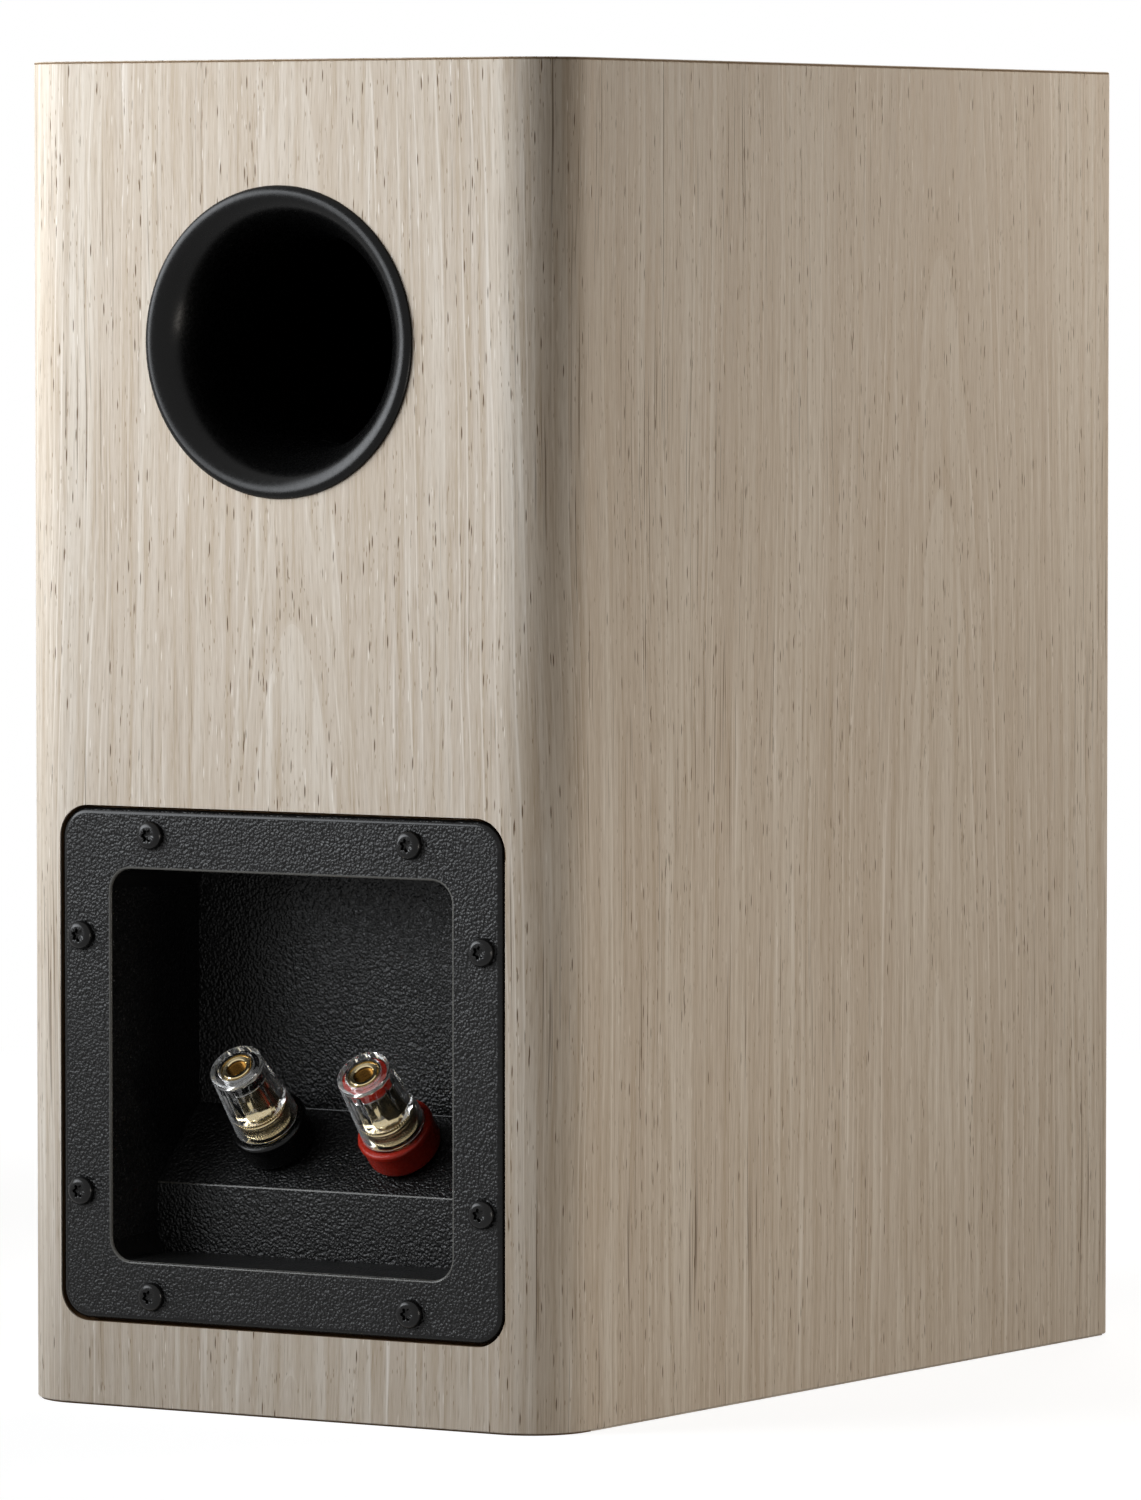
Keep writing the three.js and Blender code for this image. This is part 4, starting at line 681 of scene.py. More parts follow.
def metal(name, colour, rough, mottle=0.1):
    """Metal with fine machining marks, or with a mottled plated or oxide skin."""
    made = Finish(name)
    place = made.object_place()
    fine = made.noise(place, 3500)
    colour = made.mix(made.noise(place, 700, 3.0), tint(colour, 1 - mottle), colour)
    gloss = made.span(fine, 0.3, 0.7, rough * 0.75, rough * 1.25)
    return made.done(colour, gloss, bump=(fine, 0.08, 0.00003), Metallic=1.0)


def clear_plastic(name):
    """Clear moulded plastic that turns diffuse white where it is seen edge on: a painted rim highlight."""
    made = Finish(name)
    haze = made.noise(made.object_place(), 260, 3.0)
    facing = made.add("LayerWeight", {"Blend": 0.4}).outputs["Facing"]
    colour = made.mix(haze, (0.96, 0.97, 0.97), (1.0, 1.0, 1.0))
    # Less see-through edge on, so the rim shows white: a painted highlight.
    clear = made.span(facing, 0.3, 0.95, 1.0, 0.55)
    gloss = made.span(haze, 0.35, 0.75, 0.01, 0.05)
    return made.done(colour, gloss, Transmission_Weight=clear, IOR=1.55)


def fibreboard(name, colour):
    """Pressed fibres in faint layers."""
    made = Finish(name)
    place = made.object_place()
    fluff = made.noise(place, 1400, 4.0, 0.7)
    layers = made.noise(made.stretched(place, 30, 700, 30))
    fibres = made.mix(fluff, tint(colour, 0.6), tint(colour, 1.3))
    colour = made.mix(made.times(layers, 0.4), fibres, tint(colour, 0.7))
    return made.done(colour, 0.85, 0.2, (fluff, 0.4, 0.0003))


def cloth(name, colour, per_metre):
    """A plain weave of crossing threads, with painted shade between them."""
    made = Finish(name)
    place = made.object_place()
    wavy = {"Distortion": 0.6, "Detail": 1.0}
    threads = [made.waves(place, per_metre, direction, wavy) for direction in ("X", "Z")]
    weave = made.math("MAXIMUM", *threads)
    light = made.mix(made.noise(place, 120, 3.0), tint(colour, 0.8), tint(colour, 1.25))
    # Darker between the threads: painted shade.
    colour = made.mix(weave, tint(colour, 0.45), light)
    return made.done(colour, 0.9, 0.15, (weave, 0.5, 0.0002), Sheen_Weight=0.2)


def foam(name, colour):
    """Open cells, with painted shade in their depth."""
    made = Finish(name)
    bubbles = made.cells(made.object_place(), 650).outputs["Distance"]
    # Darker in the depth of each cell: painted shade.
    colour = made.mix(made.span(bubbles, 0.1, 0.6), tint(colour, 0.3), colour)
    return made.done(colour, 0.95, 0.1, (bubbles, 0.8, 0.0008))


def rubber(name, colour, rough=0.6):
    """Rubber with a faint dull bloom."""
    made = Finish(name)
    place = made.object_place()
    bloom = made.noise(place, 90, 4.0)
    colour = made.mix(bloom, colour, tint(colour, 1.6, 0.003))
    gloss = made.span(bloom, 0.3, 0.7, rough - 0.06, rough + 0.08)
    return made.done(colour, gloss, 0.4, (made.noise(place, 2200), 0.15, 0.00008))


def winding(name, colour, per_metre=1400):
    """Close turns of enamelled wire, with painted shade between the turns."""
    made = Finish(name)
    place = made.object_place()
    turns = made.waves(place, per_metre / 20, "Z")
    warm = made.mix(made.noise(place, 200), tint(colour, 0.75), colour)
    # Darker between the turns: painted shade.
    colour = made.mix(turns, tint(colour, 0.4), warm)
    return made.done(colour, 0.3, bump=(turns, 0.6, 0.0002), Metallic=1.0)


OAK = oak("bleached_oak", heart=0.004)
OAK_FRONT = oak("bleached_oak_front", seed=4.3, heart=-0.02)
OAK_TOP = oak("bleached_oak_top", seed=7.9, heart=0.05)
OAK_UNDERSIDE = oak("bleached_oak_underside", seed=7.9, heart=0.05, mapped=False)
OAK_EDGE = fibreboard("veneer_edge", shade(128, 104, 76))
FIBREBOARD = fibreboard("fibreboard", shade(110, 82, 52))
CUP_PLASTIC = leather_grain("grained_black_plastic", shade(13), 0.33)
PORT_PLASTIC = satin("satin_black_plastic", shade(4), 0.26, 0.16, marked=0.004)
FACEPLATE = satin("faceplate_black", shade(22, 22, 23), 0.4, 0.4)
BLACK_PLASTIC = satin("gloss_black_plastic", shade(7), 0.25, 0.18)
RED_PLASTIC = satin("gloss_red_plastic", shade(163, 36, 20), 0.28, 0.18)
CONE_PLASTIC = satin("cone_plastic", shade(30, 30, 32), 0.45, 0.4)
SLEEVE = satin("capacitor_sleeve", shade(40, 74, 128), 0.35)
BLACK_OXIDE = satin("black_oxide", shade(8), 0.22, 0.22, 0.3, marked=0.1)
CASTING = satin("powder_coated_casting", shade(26, 26, 27), 0.5, 0.45)
GILT = metal("gilt_brass", shade(232, 200, 134), 0.13)
CHAMPAGNE = metal("champagne_gilt", shade(206, 190, 152), 0.14)
# A darker copy of the brass for the tapped mouth of the insert: painted shade in its depth.
BRASS_PAINTED_SHADE = metal("brass_painted_shade", shade(104, 74, 32), 0.3, mottle=0.4)
BRIGHT = metal("bright_metal", shade(225, 222, 214), 0.1)
ZINC = metal("zinc_plated_steel", shade(176, 178, 180), 0.3, mottle=0.2)
FERRITE = metal("ferrite", shade(60, 60, 63), 0.6, mottle=0.3)
CLEAR = clear_plastic("clear_polycarbonate")
RUBBER = rubber("surround_rubber", shade(22))
BLACK_SHEATH = rubber("black_sheath", shade(20), 0.5)
RED_SHEATH = rubber("red_sheath", shade(150, 28, 22), 0.5)
SILK = cloth("dome_silk", shade(26, 26, 28), 380)
SPIDER_CLOTH = cloth("spider_cloth", shade(196, 154, 74), 200)
FOAM = foam("damping_foam", shade(70, 70, 72))
COPPER = winding("copper_winding", shade(190, 106, 62))
HARDBOARD = fibreboard("crossover_hardboard", shade(138, 115, 80))
CERAMIC = fibreboard("resistor_ceramic", shade(222, 216, 204))

# ---- cabinet


def half_width(y, inset=0.0):
    return FRONT_WIDTH / 2 - SLOPE * (y - FRONT_Y) - inset * STRETCH


def side_point(y, inset, *radius):
    """A point of the plan on its right side, where it may have a radius."""
    return (half_width(y, inset), y, *radius)


def side_points(inset):
    return [
        side_point(FRONT_Y + inset, inset, FRONT_EDGE - inset),
        side_point(REAR_Y - inset, inset, REAR_CORNER - inset),
    ]


def wrap_path(inset):
    """The veneer's path from one folded front edge round the back to the other."""
    start = (half_width(FRONT_Y) - FRONT_EDGE, FRONT_Y + inset)
    return rounded(mirrored([start, *side_points(inset)]), 20, closed=False)


def rebate():
    gap = 2 * REBATE_GAP
    return rounded_rectangle(PLATE_WIDTH + gap, PLATE_HEIGHT + gap, PLATE_RADIUS + REBATE_GAP, 12)


def wrap_grain():
    """Where a point of the wrap lies: its distance round the cabinet from the middle, and its height."""
    path = [Vector(p) for p in wrap_path(0)]
    lengths = [0.0]
    for a, b in zip(path, path[1:]):
        lengths.append(lengths[-1] + (b - a).length)

    def grain_place(point):
        best = None
        for a, b, length in zip(path, path[1:], lengths):
            line = b - a
            share = max(0, min(1, (point.xy - a).dot(line) / line.length_squared))
            off = (point.xy - a - line * share).length
            if best is None or off < best[0]:
                best = (off, length - lengths[-1] / 2 + share * line.length)
        return best[1], point.z

    return grain_place


def make_veneer_wrap():
    low, high = wrap_low.z, wrap_high.z
    inner = wrap_path(VENEER)[::-1]
    levels = ((low, VENEER_EASE), (low + VENEER_EASE, 0), (high - VENEER_EASE, 0), (high, VENEER_EASE))
    shell = skin([[(x, y, level) for x, y in wrap_path(ease) + inner] for level, ease in levels])
    rear = REAR_Y + OVERCUT
    port = drill(PORT_BODY_RADIUS + CLEARANCE, REAR_BOARD_Y, rear, PORT_Z)
    shape = combined(shell, [port, moved(prism(rebate(), REAR_BOARD_Y, rear), z=PLATE_Z)])
    wrap = piece("wrap_veneer", shape, OAK, "oak_veneer", replaces=["veneer_wrap"])
    lay_grain(wrap, wrap_grain())
    flatten_shading(wrap)


def make_top_veneer():
    levels = ((BOARD_TOP, 0), (CABINET_TOP - VENEER_EASE, 0), (CABINET_TOP, VENEER_EASE))
    shape = skin([
        [(x, y, z) for x, y in rounded(mirrored(side_points(ease)), 20)] for z, ease in levels
    ])
    top = piece("top_panel_veneer", shape, OAK_TOP, "oak_veneer", replaces=["top_veneer"])
    lay_grain(top, lambda p: (p.x, p.y))
    paint_faces(top, OAK_EDGE, lambda face: abs(face.normal.z) < 0.3)
    flatten_shading(top)


def make_baffle():
    reach = half_width(FRONT_Y) - FRONT_EDGE - CLEARANCE
    step = FRONT_Y + SKIN
    outline = rounded(mirrored([
        (reach, FRONT_Y),
        (reach, step),
        side_point(step, SKIN, FRONT_EDGE - SKIN),
        side_point(BAFFLE_BACK, SKIN),
    ]))
    front, through = FRONT_Y - OVERCUT, (FRONT_Y - OVERCUT - 1, BAFFLE_BACK + OVERCUT)
    holes = [
        drill(WOOFER_RADIUS + CLEARANCE, front, FRONT_Y + WOOFER_FLANGE, WOOFER_Z),
        drill(BASKET_RADIUS + 1, *through, WOOFER_Z),
        drill(TWEETER_RADIUS + CLEARANCE, front, FRONT_Y + TWEETER_FLANGE, TWEETER_Z),
        drill(TWEETER_BOSS_RADIUS + 1, *through, TWEETER_Z),
    ]
    shape = combined(prism(outline, 0, BOARD_TOP, up), holes)
    baffle = piece("baffle_panel", shape, OAK_FRONT, "oak_veneer", replaces=["front_baffle"])
    lay_grain(baffle, lambda p: (p.x + (p.y - FRONT_Y), p.z))

    def bare(face):
        centre = face.center / MM
        return centre.y > FRONT_Y + 0.1 and abs(centre.x) < reach - 1

    paint_faces(baffle, FIBREBOARD, bare)
    flatten_shading(baffle)


def make_rear_board():
    outline = rounded(mirrored([
        side_point(REAR_BOARD_Y, SKIN),
        side_point(REAR_Y - SKIN, SKIN, REAR_CORNER - SKIN),
    ]), 16)
    room = 2 * (CUP_WALL + 1)
    cut_out = rounded_rectangle(MOUTH_WIDTH + room, MOUTH_HEIGHT + room, MOUTH_RADIUS + room / 2)
    front, rear = REAR_BOARD_Y - OVERCUT, REAR_Y + OVERCUT
    holes = [
        moved(prism(rebate(), REAR_Y - PLATE_DEPTH, rear), z=PLATE_Z),
        moved(prism(cut_out, front, REAR_Y), z=PLATE_Z),
        drill(PORT_BODY_RADIUS + CLEARANCE, front, rear, PORT_Z),
        *screw_drills(REAR_BOARD_Y + 1, REAR_Y, 12),
    ]
    shape = combined(prism(outline, 0, BOARD_TOP, up), holes)
    piece("rear_board_panel", shape, FIBREBOARD, "fibreboard", replaces=["rear_board"])


# ---- reflex port


def make_port():
    place = axis_place((0, REAR_Y, PORT_Z), (0, 1, 0))
    crest = PORT_LIP_RADIUS - PORT_CREST
    bore = PORT_BORE_RADIUS
    depth = PORT_FLARE_DEPTH
    mouth = [
        (bore + (crest - bore) * (1 - math.cos(a)), -depth + (depth + PORT_LIP) * math.sin(a))
        for a in (i / 48 * TURN / 4 for i in range(49))
    ]
    edge = arc((crest, 0), (PORT_LIP_RADIUS - crest, PORT_LIP), TURN / 4, 0, 10)
    socket = bore + PORT_WALL + CLEARANCE
    profile = mouth + edge[1:] + [
        (PORT_BODY_RADIUS, 0),
        (PORT_BODY_RADIUS, -REAR_BOARD_DEPTH),
        (socket + PORT_WALL, -depth),
        (socket + PORT_WALL, -depth - PORT_SOCKET),
        (socket, -depth - PORT_SOCKET),
        (socket, -depth - 2),
        (bore, -depth - 2),
    ]
    piece("port_mouth", revolved(profile, 160), PORT_PLASTIC, "port_plastic",
          replaces=["port_flare"], place=place)

    low, high = box_mm("port_tube")
    start, end = high.y - REAR_Y, low.y - REAR_Y
    flare = PORT_INNER_RADIUS - bore
    curve = [
        (bore + flare * t * t, end + PORT_INNER_FLARE * (1 - t)) for t in (i / 12 for i in range(13))
    ]
    outside = [(radius + PORT_WALL, along) for radius, along in reversed(curve)]
    tube = [(bore, start)] + curve + outside + [(bore + PORT_WALL, start)]
    piece("port_pipe", revolved(tube, 96), PORT_PLASTIC, "port_plastic",
          replaces=["port_tube"], place=place)


# ---- terminal cup


def lofted(width, height, levels):
    """A skin over rounded rectangles. Each level has its y, what both sides gain, and its radius."""
    return skin([
        [(x, REAR_Y + y, z) for x, z in rounded_rectangle(width + gain, height + gain, radius, 12)]
        for y, gain, radius in levels
    ])


def plate_panel():
    edge = [(PLATE_EDGE - x, y - PLATE_EDGE) for x, y in arc((0, 0), PLATE_EDGE, 0, TURN / 4, 7)]
    levels = [(0, -PLATE_DEPTH)] + edge
    return lofted(PLATE_WIDTH, PLATE_HEIGHT, [(y, -2 * inset, PLATE_RADIUS - inset) for inset, y in levels])


def well(wall, lip):
    """The drafted well of the cup, grown by a wall, with a small flare at its mouth."""
    levels = [(-RECESS_DEPTH - wall, 0), (-2 * MOUTH_LIP, 0)]
    if lip:
        turns = [i / 5 * TURN / 4 for i in range(6)]
        levels += [(MOUTH_LIP * (math.sin(a) - 1), MOUTH_LIP * (1 - math.cos(a))) for a in turns]
        levels += [(2, MOUTH_LIP)]
    else:
        levels += [(-1, 0)]
    return lofted(MOUTH_WIDTH, MOUTH_HEIGHT, [
        (y, 2 * (wall + flare + MOUTH_DRAFT * min(0, y) / RECESS_DEPTH), MOUTH_RADIUS + wall + flare)
        for y, flare in levels
    ])


def stepped(shape, wall, ease):
    """What the ledge and the sloping shelf leave of a well."""
    drop = wall * (math.sqrt(2) - 1)
    deep = RECESS_DEPTH + wall
    reach = MOUTH_HEIGHT
    points = rounded([
        (OVERCUT, -reach),
        (-LEDGE_DEPTH - wall, -reach),
        (-LEDGE_DEPTH - wall, SHELF_LOW - drop, ease),
        (-deep, SHELF_LOW + SHELF_RISE - drop, ease),
        (-deep, reach),
        (OVERCUT, reach),
    ], 5)
    side = prism([(REAR_Y + y, z) for y, z in points], -PLATE_WIDTH, PLATE_WIDTH, across)
    return combined(shape, [side], "INTERSECT")


def make_cup():
    body = combined(plate_panel(), [stepped(well(CUP_WALL, False), CUP_WALL, 0)], "UNION")
    hole = POST_SPIGOT_RADIUS + CLEARANCE
    inside = -CUP_WALL - 3
    spigot = revolved([(0, inside), (hole, inside), (hole, 3), (0, 3)], 48)
    shape = combined(body, [
        stepped(well(0, True), 0, SHELF_EASE),
        *(moved(placed(spigot, post_place(side)), z=-PLATE_Z) for side in (-1, 1)),
        *screw_drills(REAR_Y - PLATE_DEPTH - 2, REAR_Y + 2, 16, drop=PLATE_Z),
    ])
    cup = piece("moulded_cup", moved(shape, z=PLATE_Z), CUP_PLASTIC, "cup_plastic",
                replaces=["terminal_cup"])
    flatten_shading(cup)
    mark_flats(cup)


FLAT_COSINE = 0.994
EDGE_REACH = 1.5


def mark_flats(thing):
    """Marks each face: 1 where flat, 0 where it rounds an edge, -1 on the edges of mouth and shelf, which
    get a painted highlight.
    """
    mesh = thing.data
    lip = MOUTH_LIP + 0.2
    diagonal = Vector((0, 1, 1)).normalized()
    main = (Vector((1, 0, 0)), Vector((0, 1, 0)), Vector((0, 0, 1)), diagonal)
    marks = mesh.attributes.new("flat", "FLOAT", "FACE")
    for face, mark in zip(mesh.polygons, marks.data):
        at = face.center / MM
        inner = abs(at.x) < MOUTH_WIDTH / 2 + lip and abs(at.z - PLATE_Z) < MOUTH_HEIGHT / 2 + lip
        near = any(abs(at.y - y) < EDGE_REACH for y in (REAR_Y, REAR_Y - LEDGE_DEPTH))
        turned = abs(face.normal.x) + abs(face.normal.z) > 0.1 and face.normal.y > 0.1
        if max(abs(face.normal.dot(way)) for way in main) > FLAT_COSINE:
            mark.value = 1.0
        elif inner and near and turned:
            mark.value = -1.0


def torx(scale, along):
    """A six-lobed ring."""
    return ring(lambda a: TORX_RADIUS * scale * (1 - TORX_LOBE + TORX_LOBE * math.cos(6 * a)), along, 96)


def cup_screw_shape(rim, crown):
    """A pan head with a six-lobed recess, on a plain shank."""
    steps = 96
    dome = [
        ring(rim * math.cos(a) * 0.42 + rim * 0.58, SCREW_RIM + (crown - SCREW_RIM) * math.sin(a), steps)
        for a in (i / 8 * TURN / 4 for i in range(9))
    ]
    return skin([
        pole(-SCREW_LENGTH),
        ring(SCREW_SHAFT_RADIUS, -SCREW_LENGTH + 3, steps),
        ring(SCREW_SHAFT_RADIUS, 0, steps),
        ring(rim - 0.15, 0, steps),
        ring(rim, 0.2, steps),
        *dome,
        torx(1.12, crown),
        torx(1.04, crown - 0.06),
        torx(0.98, crown - 0.22),
        torx(0.9, crown - TORX_DEPTH),
        pole(crown - TORX_DEPTH - 0.3),
    ])


def make_cup_screws():
    for index, node in enumerate(CUP_SCREWS):
        low, high = box_mm(node)
        at = (low + high) / 2
        place = axis_place((at.x, REAR_Y, at.z), (0, 1, 0)) @ Matrix.Rotation(index * 0.7, 4, "Z")
        shape = cup_screw_shape((high.x - low.x) / 2, high.y - REAR_Y)
        piece("torx_" + node, shape, BLACK_OXIDE, "black_screw", replaces=[node], place=place)


# ---- binding posts


def post_base_profile():
    h = POST_BASE_HEIGHT
    body = POST_BASE_RADIUS - 0.4
    seat = h - POST_RECESS_DEPTH
    foot = CLEARANCE - CUP_WALL
    return rounded([
        (STUD_BORE, foot), (POST_SPIGOT_RADIUS, foot), (POST_SPIGOT_RADIUS, CLEARANCE),
        (body, CLEARANCE, 2.4), (body, h - 2.3, 0.3), (POST_BASE_RADIUS, h - 1.9, 0.4),
        (POST_BASE_RADIUS, h, 1), (POST_RECESS_RADIUS, h, 0.4), (POST_RECESS_RADIUS, seat),
        (STUD_BORE, seat),
    ], 6)


def stud_profile():
    r = STUD_RADIUS
    low = STUD_FLANGE_AT
    high = low + STUD_FLANGE
    return rounded([
        (0, -STUD_TAIL), (r, -STUD_TAIL, 0.6), (r, low), (STUD_FLANGE_RADIUS, low, 0.2),
        (STUD_FLANGE_RADIUS, high, 0.2), (r, high), (r, STUD_TOP, 0.5),
        (SOCKET_RADIUS, STUD_TOP, 0.35), (SOCKET_RADIUS, STUD_TOP - SOCKET_DEPTH),
        (0, STUD_TOP - SOCKET_DEPTH - 1),
    ], 4, closed=False)


def flat_ring(bore, radius, low, high, ease, steps):
    """The profile of a ring whose outer edges are rounded."""
    return rounded([(bore, low), (radius, low, ease), (radius, high, ease), (bore, high)], steps)


def insert_rows():
    """The gilt insert: rows of (radius, along, depth of its teeth)."""
    low = CAP_AT
    curve = [(1 - math.sin(a), 1 - math.cos(a)) for a in (i / 6 * TURN / 4 for i in range(7))]
    skirt = ((7.3, 0.2, 0), (7.5, 0.5, 0.09), (7.7, 3.8, 0.1), (7.7, 4.1, 0), (7.95, 4.6, 0),
             (8.1, 4.8, 0), (8.1, 5.5, 0), (7.95, 5.7, 0), (7.9, 5.75, 0.2), (7.85, 6.4, 0.24),
             (7.75, 6.6, 0.2), *((5.4 + 2.3 * out, 6.8 + 2.6 * rise, 0) for out, rise in curve),
             (5.35, 9.7, 0), (5.35, 13.5, 0), (5.35, 14.1, 0.3))
    barrel = ((5.35, 0.7, 0.3), (5.2, 0.6, 0), (5.1, 0.55, 0))
    mouth = ((5.1, 1.0), (5.05, 0.6), (4.9, 0.42), (4.65, 0.42), (4.5, 0.9), (4.3, 0.9), (4.2, 0.45),
             (4.0, 0.3), (3.1, 0.36), (2.85, 0.6), (2.85, 0.9), (THREAD_RADIUS, 0.95))
    return [
        (STUD_BORE, low + 0.2, 0),
        *((radius, low + rise, depth) for radius, rise, depth in skirt),
        *((radius, MARKER_AT - below, depth) for radius, below, depth in barrel),
        *((radius, CAP_TOP - below, 0) for radius, below in mouth),
        (THREAD_RADIUS, STUD_TOP + 1.4, 0),
        (STUD_BORE, STUD_TOP + 1.3, 0),
    ]


def insert_wave(radius, depth, angle):
    """Fine teeth on the skirt and broad splines at the head of the barrel."""
    if radius < 6:
        return -depth * (0.5 + 0.5 * math.cos(INSERT_SPLINES * angle)) ** 3
    return depth * math.cos(INSERT_TEETH * angle)


def thread_profile():
    """The tapped mouth of the insert, darkened in its depth by a brass with painted shade."""
    low = STUD_TOP + 1.6
    half = THREAD_PITCH / 2
    turns = int((CAP_TOP - 1 - low) / half)
    crests = [(THREAD_RADIUS - (0.15 if i % 2 else 0.5), low + i * half) for i in range(turns)]
    wall = THREAD_RADIUS - 0.03
    return [(wall, low + (turns - 1) * half), (wall, low)] + crests


def cap_rows():
    """The clear cap: a plain collar over a fluted taper, bored for the insert and the marker."""
    low, top = CAP_AT, CAP_TOP
    slim, wide = CAP_TOP_RADIUS, CAP_BOTTOM_RADIUS
    shoulder = CAP_COLLAR - 0.4
    pocket = MARKER_RADIUS - 0.1
    lid = MARKER_TOP + 0.12
    taper = ((2.5, 0), (5, 0), (8, 0), (9, 0.03), (10.5, 0.09), (12.5, 0.15), (15, 0.2), (18, 0.22),
             (20.6, 0.22))
    outside = [
        (slim + (wide - slim) * (shoulder - low - rise) / (shoulder - low), low + rise, depth)
        for rise, depth in taper
    ]
    crown = ((slim - 0.12, CAP_COLLAR), (slim - 0.1, CAP_COLLAR + 0.15), (slim - 0.1, top - 0.4),
             (slim - 0.22, top - 0.12), (slim - 0.5, top), (5.45, top), (5.3, top - 0.15), (5.3, lid),
             (pocket, lid), (pocket, MARKER_AT - 0.15), (5.75, MARKER_AT - 0.3), (5.75, low + 9.9),
             (6.3, low + 8.1), (8.3, low + 7.1), (8.4, low + 6.7), (8.4, low + 0.1), (8.5, low))
    return [
        (wide - 0.5, low, 0),
        (wide - 0.15, low + 0.1, 0),
        (wide, low + 0.4, 0),
        *outside,
        (slim, shoulder, 0.2),
        *((radius, along, 0) for radius, along in crown),
    ]


def cap_wave(radius, depth, angle):
    return -2 * depth * (0.5 + 0.5 * math.cos(CAP_FLUTES * angle)) ** 2


def make_posts():
    washer = flat_ring(STUD_BORE, WASHER_RADIUS, WASHER_AT, WASHER_AT + WASHER_THICKNESS, 0.3, 4)
    marker = flat_ring(MARKER_BORE, MARKER_RADIUS - 0.25, MARKER_AT, MARKER_TOP, 0.2, 3)
    shapes = {
        "collar": revolved(post_base_profile(), 96),
        "core": revolved(stud_profile(), 96),
        "ring": revolved(washer, 96),
        "sleeve": revolved(insert_rows(), 360, insert_wave),
        "thread": revolved(thread_profile(), 96),
        "band": revolved(marker, 96),
        "grip": revolved(cap_rows(), 216, cap_wave),
    }
    for colour, plastic, side in (("black", BLACK_PLASTIC, 1), ("red", RED_PLASTIC, -1)):
        post = colour + "_post_"
        dyed = post + "plastic"
        for name, finish, slot, body, stands_for, sharp in (
            ("collar", plastic, dyed, "cabinet", "base", 32),
            ("core", GILT, "gilt_brass", "cabinet", "stud", 32),
            ("ring", BRIGHT, "bright_metal", colour + "_washer", "washer", 32),
            ("sleeve", CHAMPAGNE, "gilt_brass", colour + "_cap", "insert", 38),
            ("thread", BRASS_PAINTED_SHADE, "gilt_brass", colour + "_cap", None, 32),
            ("band", plastic, dyed, colour + "_cap", "marker", 32),
            ("grip", CLEAR, "clear_plastic", colour + "_cap", "cap", 32),
        ):
            replaces = [post + stands_for] if stands_for else ()
            piece(post + name, shapes[name], finish, slot, body, replaces, post_place(side), sharp)


# ---- drivers


def cone_face(radius):
    """How far back the cone's front face lies at a radius."""
    t = (CONE_LAND - radius) / (CONE_LAND - NECK_RADIUS)
    return SURROUND_LEDGE + CONE_DEPTH * (1.25 * t - 0.25 * t * t)


def thickened(face, thickness):
    """A closed profile from a front face and the same face moved back."""
    return list(face) + [(radius, along + thickness) for radius, along in reversed(face)]


def dome_profile(radius, height, base, thickness):
    """A shallow dome with a wall, from its rim to its middle and back."""
    curve = (radius * radius + height * height) / (2 * height)
    half = math.asin(radius / curve)
    centre = base - height + curve
    angles = [half * (1 - i / 16) for i in range(17)]
    face = [(curve * math.sin(a), centre - curve * math.cos(a)) for a in angles]
    return face + [(r * (1 - thickness / radius), a + thickness) for r, a in reversed(face)]


def rolled(middle_radius, level, roll, outer, inner, steps):
    """The front of a surround: a half roll between two lands."""
    return [(outer, level)] + arc((middle_radius, level), roll, 0, -math.pi, steps) + inner


def blend_radially(thing, fixed, moving, z, outer, inner):
    """Bends a ring that joins a fixed rim to a moving centre: each point's share follows its radius."""
    start, end = ((radius * MM, FRONT_Y * MM, z * MM) for radius in (outer, inner))
    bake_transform(thing, fixed, moving, start=start, end=end)
    shares = thing.data.attributes["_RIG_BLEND"]
    for vertex in thing.data.vertices:
        radius = math.hypot(vertex.co.x, vertex.co.z - z * MM) / MM
        t = max(0, min(1, (outer - radius) / (outer - inner)))
        shares.data[vertex.index].value = t * t * (3 - 2 * t)


